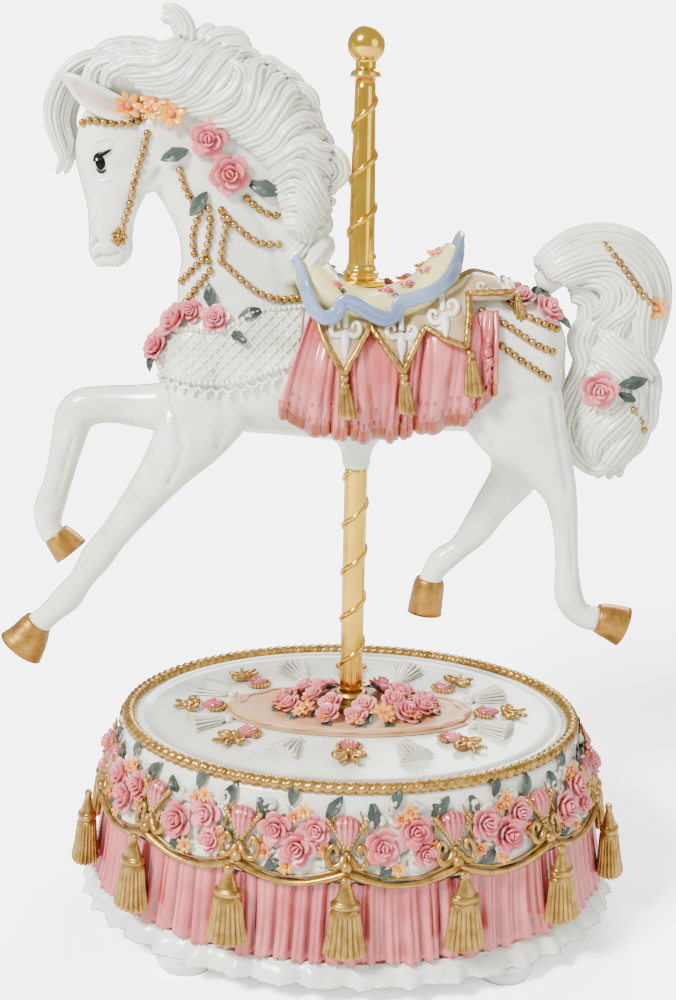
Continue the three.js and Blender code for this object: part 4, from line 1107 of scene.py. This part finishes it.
TASSEL_SWING = 0.12         # the small tassels swing back by this share of their length


def hanging_tassel(bm, at, size):
    """A small gold tassel: a bound knob over a grooved skirt, hanging from a point in metres."""
    profile = [
        (0, 0), (1.0, -0.2), (1.35, -1.1), (0.9, -2.1), (1.5, -2.8), (1.2, -3.6), (1.7, -5.4), (2.1, -8.8),
        (2.3, -11.6), (1.6, -12), (0, -11.8)]

    def shape(u, w):
        radius, height = blend_points(profile, w)
        swell = 1 + (0.3 * abs(math.cos(4.5 * TAU * u)) - 0.15 if height < -3.4 else 0)
        spot = Vector((radius * swell * math.cos(TAU * u), radius * swell * math.sin(TAU * u),
                       height)) * size
        return at + Vector((spot.x - TASSEL_SWING * spot.z, spot.y, spot.z)) * MM

    shaped(bm, 36, 30, shape)


def make_band(side, name):
    bm = bmesh.new()
    flank_patch(bm, BAND_TOP, BAND_LOW, side, lambda u, w: 4.0 + 0.4 * math.cos(TAU * 6 * u), 110, 10,
                straight=True)
    finish(f"saddle_band_{name}", bm, [BAND], HORSE, thickness=1.6)
    relief = bmesh.new()
    for x, z, lean in ((-4.6, 205.6, 0), (14.4, 205.6, 0), (28.4, 212, 0.5)):
        for hand in (-1, 1):
            centre = (x + 3.2 * hand * math.cos(lean), z + 3.2 * hand * math.sin(lean))
            start_angle = math.pi / 2 + lean + 1.9 * hand
            scroll(relief, centre, 2.7, 1.05, start_angle, side, 5.2, 0.95, hand)
        drop = [(x + 1.2 * lean, z - 0.5), (x + 1.6 * lean, z - 3.4), (x + 1.6 * lean, z - 6),
                (x + 1.4 * lean, z - 9)]
        cord(relief, skin_line(drop, 5.3, side, 9), 1.1, 8, 0,
             taper=lambda w: 0.4 + math.sin(math.pi * min(1, w + 0.15)))
        cord(relief, skin_line([(x, z - 0.4), (x, z + 2), (x, z + 5)], 5.4, side, 8), 0.9, 8)
    for hand, z in ((-1, 219.4), (1, 220)):
        scroll(relief, (43.6 + 3 * hand, z), 1.9, 1.0, math.pi / 2 + 1.9 * hand, side, 5.0, 0.8, hand)
    finish(f"saddle_scrolls_{name}", relief, [LACE], HORSE)
    gold = bmesh.new()
    vee = [
        (-16, 211), (-11.4, 201.4), (-4.8, 192.6), (-0.4, 199.4), (3.9, 206.4), (9.2, 200.3), (14.9, 193.6),
        (18.9, 201.1), (22.5, 207), (28.4, 204.4), (35.9, 202), (36.3, 209.3), (36.4, 217.2), (43.2, 218),
        (51.5, 217.4)]
    cord(gold, [on_skin(*straight_points(vee, i / 168), 5.1, side)[0] for i in range(169)], 1.0, 9, 0,
         strands=2, turns=26)
    for x, z, size in ((-4.9, 192.6, 1.2), (15, 193.6, 1.1), (37, 201.4, 1.25), (51.8, 217.4, 0.95)):
        hanging_tassel(gold, on_skin(x, z, 5.6, side)[0], size)
    finish(f"saddle_cords_{name}", gold, [GOLD], HORSE)


def inside_collar(x, z):
    spread = (-19 - x) / 48.5
    if not 0 < spread < 1:
        return False
    top, low = (blend_points(line, spread)[1] for line in (COLLAR_TOP, COLLAR_LOW))
    return low < z < top


def make_lace(side, name):
    """A lattice of raised threads five millimetres apart over a thin ground, with beaded borders."""
    ground = bmesh.new()
    flank_patch(ground, COLLAR_TOP, COLLAR_LOW, side, lambda u, w: 0.45, 60, 16)
    stands_for = ["breast_collar"] if side == NEAR else []
    finish(f"lace_ground_{name}", ground, [LACE], HORSE, stands_for, 0.7)
    bm = bmesh.new()
    for slope in (-1, 1):
        for offset in range(-40, 41, 4):
            run = []
            for i in range(-60, 61):
                x, z = -43 + offset + i * 0.5, 201 + slope * i * 0.5 * 1.05
                if inside_collar(x, z):
                    run.append(on_skin(x, z, 1.0, side)[0])
            if len(run) > 5:
                cord(bm, run[::2] if len(run) % 2 else run[:-1:2], 0.5, 5)
    for line, pitch in ((COLLAR_TOP, 1.8), (COLLAR_LOW, 1.9)):
        path = skin_line(line, 1.2, side, 50)
        put_beads(bm, path, 0.95, pitch, 0)
    for i in range(1, 14):
        x, z = blend_points(COLLAR_LOW, i / 14)
        ring = [on_skin(x + 1.9 * math.cos(a), z - 1.5 + 1.9 * math.sin(a), 0.9, side)[0]
                for a in (math.pi + math.pi * j / 8 for j in range(9))]
        cord(bm, ring, 0.55, 5)
        stamp(bm, BEAD_SHAPE, Matrix.Translation(on_skin(x, z - 4.4, 0.8, side)[0])
              @ Matrix.Diagonal((0.8 * MM, 0.8 * MM, 1.3 * MM, 1)))
    finish(f"lace_lattice_{name}", bm, [LACE], HORSE)


for flank, flank_name in ((NEAR, "near"), (FAR, "far")):
    make_drape(flank, flank_name)
    make_band(flank, flank_name)
    make_lace(flank, flank_name)


# ---- base: places around the oval ------------------------------------------------------------------
def around_oval(half_width, count, fine=1440):
    """Places equally spaced around an oval from its front: (x, y, heading of the outward normal)."""
    lengths = [0.0]
    for i in range(1, fine + 1):
        t = TAU * (i - 0.5) / fine
        lengths.append(lengths[-1] + math.hypot(half_width * math.cos(t), half_width * OVAL * math.sin(t)))
    places = []
    for k in range(count):
        goal = k / count * lengths[-1]
        step = next(i for i, length in enumerate(lengths) if length >= goal - 1e-9)
        t = TAU * step / fine
        x, y = half_width * math.sin(t), -half_width * OVAL * math.cos(t)
        places.append((x, y, math.atan2(y / OVAL, x * OVAL)))
    return places


BAY_STEPS = 24
BAY = around_oval(1.0, TASSELS * BAY_STEPS)


def bay_point(bay, half_width, z):
    """A point in metres on an oval, at a place counted in bays from the front tassel, with its heading."""
    x, y, heading = BAY[round(bay * BAY_STEPS) % len(BAY)]
    return place(x * half_width, y * half_width, z), Vector((math.cos(heading), math.sin(heading), 0))


FRIEZE = [(88.5, 41.5), (86, 48), (83, 58), (81.4, 66.4)]


def frieze_half_width(z):
    for (a, low), (b, high) in zip(FRIEZE, FRIEZE[1:]):
        if z <= high:
            return a + (b - a) * (z - low) / (high - low)
    return DECK_A


# ---- base: casting ---------------------------------------------------------------------------------
def make_casting():
    bm = bmesh.new()
    outer = [
        (5.5, 62), (68, 62), (77.5, 54), (80.5, 36), (80.5, HEM_Z), (WALL_A, HEM_Z), (WALL_A, 41.4),
        (88, 41.5), (88.5, 42.2), (86, 48), (84.4, 53), (83, 58), (82, 63), (81.4, 66.4), (81, 67.8),
        (79, 69.6), (76.4, DECK_Z), (75.4, 70.5), (74.6, 70.7), (73.8, 70.5), (73, DECK_Z), (40, DECK_Z),
        (5.5, DECK_Z), (5.5, 62)]
    turned(bm, outer, 160, 184, squash=OVAL, crisp=True)
    finish("base_casting", bm, [PEARL], BASE, ["base_shell"])
    bm = bmesh.new()
    rim = around_oval(79.3, 640)
    cord(bm, [place(x, y, 70.4) for x, y, _ in rim + rim[:1]], 1.85, 16, strands=2, turns=66)
    finish("rope_rim_cast", bm, [GOLD], BASE, ["rope_rim"])


def swag_points(drop=0.0, out=0.0):
    points = []
    for i in range(TASSELS * BAY_STEPS + 1):
        bay = i / BAY_STEPS
        z = SWAG_HIGH_Z - SWAG_DIP * math.sin(math.pi * (bay % 1)) - drop
        points.append(bay_point(bay, SWAG_A + out, z)[0])
    return points


def make_swags():
    bm = bmesh.new()
    cord(bm, swag_points(), 1.2, 8, taper=lambda w: 1 + 0.2 * math.cos(TASSELS * TAU * w))
    cord(bm, swag_points(-2.0, -0.9), 0.55, 6)
    finish("swag_cord_cast", bm, [GOLD], BASE, ["swag_cord"])


# ---- base: skirts ----------------------------------------------------------------------------------
def hanging_band(bm, outer, inner_half_width, around, rows, fold):
    """A cast cloth band round the oval. outer is its profile from the top, and fold(bay, t) gives how far
    it moves out and drops there."""
    low_z, high_z = outer[-1][1], outer[0][1]

    def shape(u, w):
        bay = w * TASSELS
        if u <= 0.75:
            t = u / 0.75
            half_width, z = blend_points(outer, t)
            out, drop = fold(bay, t)
            half_width, z = half_width + out, z - drop
        else:
            t = (u - 0.75) / 0.25
            half_width, z = inner_half_width, low_z + (high_z - low_z) * t
            if t < 0.02:
                z = low_z
        if u in (0, 1):
            half_width, z = blend_points(outer, 0)
        angle = TAU * w
        return place(half_width * math.sin(angle), -half_width * OVAL * math.cos(angle), z)

    shaped(bm, rows, around, shape)
    bmesh.ops.remove_doubles(bm, verts=bm.verts, dist=1e-6)
    bmesh.ops.recalc_face_normals(bm, faces=bm.faces)


def make_skirts():
    rng = random.Random(7)
    phases = [rng.uniform(0, TAU) for _ in range(6)]

    def pleat(bay, t):
        a = TAU * bay / TASSELS
        run = 84 * a + 2.6 * math.sin(5 * a) + 0.7 * math.sin(9 * a + 2 * t)
        wave = fold(run) + 0.5 * fold(2 * run + 3 * math.sin(4 * a) + phases[0])
        wave += 0.4 * math.cos(23 * a + phases[1])
        fray = abs(math.sin(150 * a + phases[2])) * 0.9 + 0.5 * math.sin(31 * a + phases[3])
        return wave * (0.55 + 0.95 * t) - 1.0, (fray if t > 0.94 else 0)

    bm = bmesh.new()
    hanging_band(bm, [(88.2, 41.2), (88.8, 36), (89.8, 28), (91, 20), (92.3, SKIRT_LOW_Z)], WALL_A + 0.3,
                 1120, 28, pleat)
    finish("pleated_skirt_cast", bm, [ROSE], BASE, ["pleated_skirt"])

    def ruffle(bay, t):
        a = TAU * bay / TASSELS
        wave = math.cos(41 * a + phases[4]) + 0.5 * math.cos(73 * a + phases[5])
        return wave * (0.4 + 1.0 * t) - 0.8, (0.55 * abs(math.sin(95 * a)) if t > 0.9 else 0)

    bm = bmesh.new()
    hanging_band(bm, [(91, SKIRT_LOW_Z - 0.3), (93.6, 11.6), (95.4, 9.4), (96.2, HEM_Z + 0.3)],
                 WALL_A + 0.3, 760, 16, ruffle)
    finish("petticoat_cast", bm, [WHITE], BASE, ["petticoat_ruffle"])


TASSEL_FLAT = 0.66          # depth of a tassel over its width
TASSEL_LEAN = 0.07          # its top leans in by this share of its height
THREADS_TOP = 14.4          # its threads hang from here


def make_tassels():
    # (radius, height): a small knob, a bell cap, its binding ring, and the spreading threads.
    profile = [
        (0, 25.5), (1.4, 25.3), (1.8, 24.2), (1.5, 23.2), (2.1, 21.6), (3.0, 19.4), (3.7, 17.8),
        (4.7, 17.2), (4.8, 16.0), (4.0, 15.3), (4.5, 14.2), (5.0, 10), (5.7, 5), (6.5, 1.2), (6.4, 0.3),
        (5.2, 0), (0, 0.5)]
    for k, (x, y, heading) in enumerate(around_oval(TASSEL_A, TASSELS)):
        out = Vector((math.cos(heading), math.sin(heading), 0))

        def shape(u, w, x=x, y=y, out=out):
            radius, height = blend_points(profile, w)
            threads = 1 + (0.22 * abs(math.cos(9 * TAU * u)) - 0.12 if height < THREADS_TOP else 0)
            across = Vector((-out.y, out.x, 0))
            at = Vector((x, y, TASSEL_LOW_Z + height)) - out * TASSEL_LEAN * height
            at = at + out * (TASSEL_FLAT * radius * threads * math.cos(TAU * u))
            return place(*(at + across * (radius * threads * math.sin(TAU * u))))

        bm = bmesh.new()
        shaped(bm, 72, 52, shape)
        finish(f"base_tassel_{k + 1:02d}", bm, [GOLD], BASE, [f"tassel_{k + 1:02d}"])


def make_feet():
    profile = [(0, 0), (7.8, 0), (9.2, 0.7), (10.2, 2.8), (9.8, 4.8), (8.8, 6.6), (0, 6.7)]
    for k, (x, y) in enumerate(((-53, -52), (53, -52), (53, 52), (-53, 52))):
        bm = bmesh.new()
        turned(bm, profile, 48, 42, centre=(x, y))
        finish(f"foot_{k + 1}_cast", bm, [WHITE], BASE, [f"foot_{k + 1}"])


# ---- base: frieze relief ---------------------------------------------------------------------------
def on_frieze(bay, z, lift):
    point, out = bay_point(bay, frieze_half_width(z), z)
    normal = (out + Vector((0, 0, 0.3))).normalized()
    return point + normal * lift * MM, normal


def frieze_cord(bm, line, lift, radius, taper=None, steps=16):
    """A cord on the frieze through (bay, z) points."""
    points = [on_frieze_smooth(*blend_points(line, i / steps), lift) for i in range(steps + 1)]
    cord(bm, points, radius, 7, taper=taper)


def on_frieze_smooth(bay, z, lift):
    """Like on_frieze, between the places that the oval was divided into."""
    position = bay * BAY_STEPS
    before = math.floor(position)
    a, b = (on_frieze(step / BAY_STEPS, z, lift)[0] for step in (before, before + 1))
    return a.lerp(b, position - before)


def build_jewel(bm):
    """A ribbed teardrop on the XZ plane, its point down, one millimetre in half width."""
    verts = bmesh.ops.create_uvsphere(bm, u_segments=44, v_segments=14, radius=1)["verts"]
    for vert in verts:
        x, y, z = vert.co
        width = 1 if z > 0 else math.sqrt(max(0, 1 - z * z)) ** 0.25 * (1 + 0.35 * z)
        rib = 0.85 + 0.5 * abs(math.cos(2.5 * math.pi * x))
        vert.co = (x * width, y * 0.5 * width * rib, z * (0.85 if z > 0 else 1.55))


JEWEL_SHAPE = pattern(build_jewel)


def jewel_matrix(point, normal, size, up=Vector((0, 0, 1))):
    depth = -Vector(normal).normalized()
    across = up.cross(depth).normalized()
    upright = depth.cross(across)
    turn = Matrix((-across, -depth, upright)).transposed().to_4x4()
    return Matrix.Translation(point) @ turn @ Matrix.Scale(size * MM, 4)


# Roses of the odd and the even bays, then the daisies and leaves of each bay: (part of a bay from its
# middle, height, size); a leaf adds the way it points.
BAY_ROSES = (
    ((-0.15, 52.6, 6.2), (0.12, 57, 5.8), (0.2, 49.6, 4.6)),
    ((-0.17, 56.5, 5.6), (0.05, 51.4, 6.2), (0.22, 57.4, 5.2)))
BAY_DAISIES = ((-0.26, 49), (-0.06, 45.6), (0.29, 51.6), (0.1, 63), (-0.02, 61))
BAY_LEAVES = (
    (-0.27, 58, 9, 1.9), (0.3, 61, 9, 0.9), (-0.1, 48, 8, 3.9), (0.27, 54, 8, 5.9), (-0.04, 64, 8, 1.4))
# A scroll beside each jewel and its long stem, drawn from the jewel's middle: (part of a bay, height).
SCROLL_CURL = ((0.01, 50.6), (0.07, 47), (0.15, 46.6), (0.18, 50.2), (0.13, 53), (0.09, 51), (0.12, 49.6))
SCROLL_STEM = ((0.17, 49), (0.19, 54), (0.15, 60), (0.11, 64))
RELIEF_SWIRLS = 24


def make_frieze():
    flowers, gold, relief, jewels = (bmesh.new() for _ in range(4))
    rng = random.Random(31)
    for bay in range(TASSELS):
        point, normal = on_frieze(bay, 58.6, 1.7)
        stamp(jewels, JEWEL_SHAPE, jewel_matrix(point, normal, 4.5))
        across = Vector((-normal.y, normal.x, 0)).normalized()
        for i in range(17):
            slide = 1 - i / 8
            bead_at, _ = on_frieze(bay, 50.4 + 9.8 * abs(slide) ** 0.8, 2.2)
            put_bead(gold, bead_at + across * 5.9 * slide * MM, 1.1)
        for hand in (-1, 1):
            curl, stem = ([(bay + step * hand, z) for step, z in line]
                          for line in (SCROLL_CURL, SCROLL_STEM))
            frieze_cord(gold, curl, 2.4, 1.15, taper=lambda w: 1.25 - 0.6 * w)
            frieze_cord(gold, stem, 1.4, 0.8, taper=lambda w: 1.1 - 0.7 * w)
        put_bead(gold, on_frieze(bay, 46.6, 3.2)[0], 2.1)
        middle = bay + 0.5
        for k, (step, z, radius) in enumerate(BAY_ROSES[bay % 2]):
            put_rose(flowers, *on_frieze(middle + step, z, 0.6), radius, 1.9 * k + bay)
        for k, (step, z) in enumerate(BAY_DAISIES):
            put_daisy(flowers, *on_frieze(middle + step, z, 1.8), rng.uniform(2.3, 2.9), k,
                      DAISY_SLOTS[k % 2])
        for step, z, length, way in BAY_LEAVES:
            put_leaf(flowers, *on_frieze(middle + step, z, 0.5), length, way + rng.uniform(-0.3, 0.3))
        for _ in range(RELIEF_SWIRLS):
            step, z = rng.uniform(-0.36, 0.36), rng.uniform(44.6, 65)
            turn, reach = rng.uniform(0, TAU), rng.uniform(1.6, 2.7)
            swirl = []
            for i in range(9):
                angle, span = turn + 4.6 * i / 8, reach * (1 - 0.55 * i / 8)
                height = min(66, max(43, z + span * math.sin(angle)))
                swirl.append((middle + step + 0.026 * span * math.cos(angle), height))
            frieze_cord(relief, swirl, 0.7, 1.1, taper=lambda w: 1.15 - 0.6 * w, steps=9)
    finish("frieze_flowers", flowers, POSY, BASE)
    finish("frieze_scrolls", gold, [GOLD], BASE)
    finish("frieze_relief", relief, [RELIEF], BASE)
    finish("frieze_jewels", jewels, [ROSE], BASE)


# ---- deck ------------------------------------------------------------------------------------------
def make_medallion():
    def scalloped(u, w):
        return 0.02 * math.cos(16 * TAU * u) * (1 if w > 0.3 else 0)

    bm = bmesh.new()
    profile = [
        (6.5, 70.3), (42.4, 70.3), (43, 70.8), (42.8, 71.7), (41.6, 72.2), (39, 72.3), (37.6, 71.9),
        (12, 72), (6.5, 72.2), (6.5, 70.3)]
    turned(bm, profile, 160, 72, squash=22 / 43, flute=scalloped)
    finish("medallion_cast", bm, [TAN], BASE, ["medallion"])
    bm = bmesh.new()
    turned(bm, [(4.1, 70.6), (7.4, 72.8), (7.6, 73.8), (6.2, 74.8), (5.6, 76.6), (6, 77.4),
                (5.2, COLLAR_TOP_Z - 0.3), (4.1, COLLAR_TOP_Z - 0.3), (4.1, 70.6)], 48, 48, crisp=True)
    finish("pole_collar_turned", bm, [GOLD], BASE, ["pole_collar"])


def make_wreath():
    bm = bmesh.new()
    rng = random.Random(17)
    for k in range(16):
        angle = TAU * k / 16
        for ring, (a, b, z) in enumerate(((25, 13.5, 73.2), (15.5, 9, 75.2))):
            if ring and k % 2:
                continue
            x = a * math.cos(angle + 0.2 * ring) + 2
            y = b * math.sin(angle + 0.2 * ring)
            out = Vector((0.5 * math.cos(angle), 0.6 * math.sin(angle), 1))
            at = place(x, y, z + rng.uniform(-0.3, 0.6))
            if k % 3 != 1 or ring:
                put_rose(bm, at, out, rng.uniform(3.9, 5.4), rng.uniform(0, TAU))
            else:
                put_daisy(bm, at + Vector((0, 0, 1.4 * MM)), out, 3.6, k, DAISY_SLOTS[k % 2])
            put_leaf(bm, place(x * 1.06, y * 1.06, z - 0.4), out, 8, angle + rng.uniform(-0.8, 0.8))
            put_daisy(bm, place(x * 1.14, y * 1.16, z + 0.8), out, 2.5, k, DAISY_SLOTS[1 - k % 2])
    finish("flower_wreath_cast", bm, POSY, BASE, ["flower_wreath"])


def bow(bm, at, way, size):
    """A gold bow lying on the deck: two loops, two tails and a knot, along a heading from its knot."""
    ahead = Vector((math.cos(way), math.sin(way), 0))
    across = Vector((-ahead.y, ahead.x, 0))

    def spot(along, side, up=0.0):
        return at + (ahead * along + across * side + Vector((0, 0, up))) * size * MM

    for hand in (-1, 1):
        loop = [(0, 0), (-0.4, 2.4), (0.6, 4.6), (2.2, 4.8), (2.4, 3), (1.2, 1.2), (0, 0)]
        points = [blend_points(loop, i / 18) for i in range(19)]
        cord(bm, [spot(a + 0.001 * i, b * hand, 0.8) for i, (a, b) in enumerate(points)], 0.95 * size, 7)
        tail = [(0, 0), (2.4, 1.2), (4.6, 1.0), (6.6, 2.6), (7.6, 2.2)]
        cord(bm, [spot(a, b * hand, 0.5) for a, b in (blend_points(tail, i / 12) for i in range(13))],
             0.85 * size, 7,
             taper=lambda w: 1.15 - 0.5 * w)
    put_bead(bm, spot(0, 0, 1.3), 1.6 * size)


def fan_tassel(bm, at, way, length):
    """A ribbed fan tassel lying on the deck, spreading along a heading."""
    ahead = Vector((math.cos(way), math.sin(way), 0))
    across = Vector((-ahead.y, ahead.x, 0))
    profile = [
        (0, 0), (1.3, 0.02), (1.9, 0.12), (1.2, 0.22), (1.9, 0.3), (2.4, 0.5), (3.2, 0.8), (3.8, 0.98),
        (3.2, 1.0), (0, 0.99)]

    def shape(u, w):
        radius, along = blend_points(profile, w)
        rib = 1 + (0.44 * abs(math.cos(7 * TAU * u)) - 0.2 if along > 0.3 else 0)
        side, up = 1.3 * radius * rib * math.sin(TAU * u), 0.78 * radius * rib * math.cos(TAU * u)
        return at + (ahead * along * length + across * side + Vector((0, 0, up + 1.1))) * MM

    shaped(bm, 56, 26, shape)


def make_deck_ornaments():
    """Jewels with bows and fan tassels by turns, on an oval about the medallion, pointing outward."""
    gold, jewels, fans = (bmesh.new() for _ in range(3))
    for k in range(16):
        t = math.radians(22.5 * k - 90)
        way = math.atan2(38 * math.sin(t) / OVAL, 54 * math.cos(t) * OVAL)
        ahead = Vector((math.cos(way), math.sin(way), 0))
        across = Vector((-ahead.y, ahead.x, 0))
        at = place(52 * math.cos(t), 36 * math.sin(t), DECK_Z)
        if k % 2:
            fan_tassel(fans, at - ahead * 7 * MM, way, 15)
            continue
        matrix = jewel_matrix(at - ahead * 3.4 * MM + Vector((0, 0, 1.5 * MM)), Vector((0, 0, 1)), 3.3,
                              -ahead)
        stamp(jewels, JEWEL_SHAPE, matrix)
        for i in range(13):
            angle = -0.4 + (math.pi + 0.8) * i / 12
            off = -ahead * (3.4 + 3.6 * math.sin(angle)) + across * 4 * math.cos(angle)
            put_bead(gold, at + off * MM + Vector((0, 0, 1.1 * MM)), 0.75)
        bow(gold, at + ahead * 3.4 * MM + Vector((0, 0, 1 * MM)), way, 1.05)
    finish("deck_bows", gold, [GOLD], BASE)
    finish("deck_jewels", jewels, [ROSE], BASE)
    finish("deck_fan_tassels", fans, [RELIEF], BASE)


make_casting()
make_swags()
make_skirts()
make_tassels()
make_feet()
make_frieze()
make_medallion()
make_wreath()
make_deck_ornaments()


# ---- light and floor -------------------------------------------------------------------------------
def soft_light(name, at, toward, size, power):
    data = bpy.data.lights.new(name, "AREA")
    data.shape = "DISK"
    data.size = size
    data.energy = power
    light = bpy.data.objects.new(name, data)
    aim = (Vector(toward) - Vector(at)).to_track_quat("-Z", "Y").to_matrix().to_4x4()
    light.matrix_world = Matrix.Translation(at) @ aim
    bpy.context.scene.collection.objects.link(light)


def set_studio():
    soft_light("key_light", (-0.8, -0.8, 1.1), (0, 0, 0.15), 0.4, 50)
    soft_light("fill_light", (1.0, -0.7, 0.5), (0, 0, 0.15), 0.9, 5)
    soft_light("back_light", (0.3, 1.1, 0.9), (0, 0, 0.15), 0.8, 16)
    world = bpy.data.worlds.new("studio")
    world.use_nodes = True
    background = world.node_tree.nodes["Background"]
    background.inputs["Color"].default_value = linear("#FFFFFF")
    # The sheet behind the figure is lit by its own lamp: it looks brighter than the light it gives back.
    seen = add(world, "ShaderNodeLightPath", {}, "Is Camera Ray")
    lamp = add(world, "ShaderNodeMapRange", {"Value": seen, "To Min": 0.75, "To Max": 6.0})
    world.node_tree.links.new(lamp, background.inputs["Strength"])
    bpy.context.scene.world = world
    bm = bmesh.new()
    bmesh.ops.create_circle(bm, cap_ends=True, segments=64, radius=40)
    mesh = bpy.data.meshes.new("floor")
    bm.to_mesh(mesh)
    bm.free()
    # A matt painted floor: no mirror of the figure, only a faint unevenness of tone.
    material, inputs, where = start("pale_matt_floor_paint", Roughness=0.85)
    broad = add(material, "ShaderNodeTexNoise", {"Vector": where, "Scale": 1 / (300 * MM)})
    ends = {0: broad, 6: linear("#FAFAF8"), 7: linear("#FFFFFF")}
    tone = add(material, "ShaderNodeMix", ends, 2, data_type="RGBA")
    material.node_tree.links.new(tone, inputs["Base Color"])
    mesh.materials.append(material)
    floor = bpy.data.objects.new("floor", mesh)
    bpy.context.scene.collection.objects.link(floor)
    floor.is_shadow_catcher = True


set_studio()
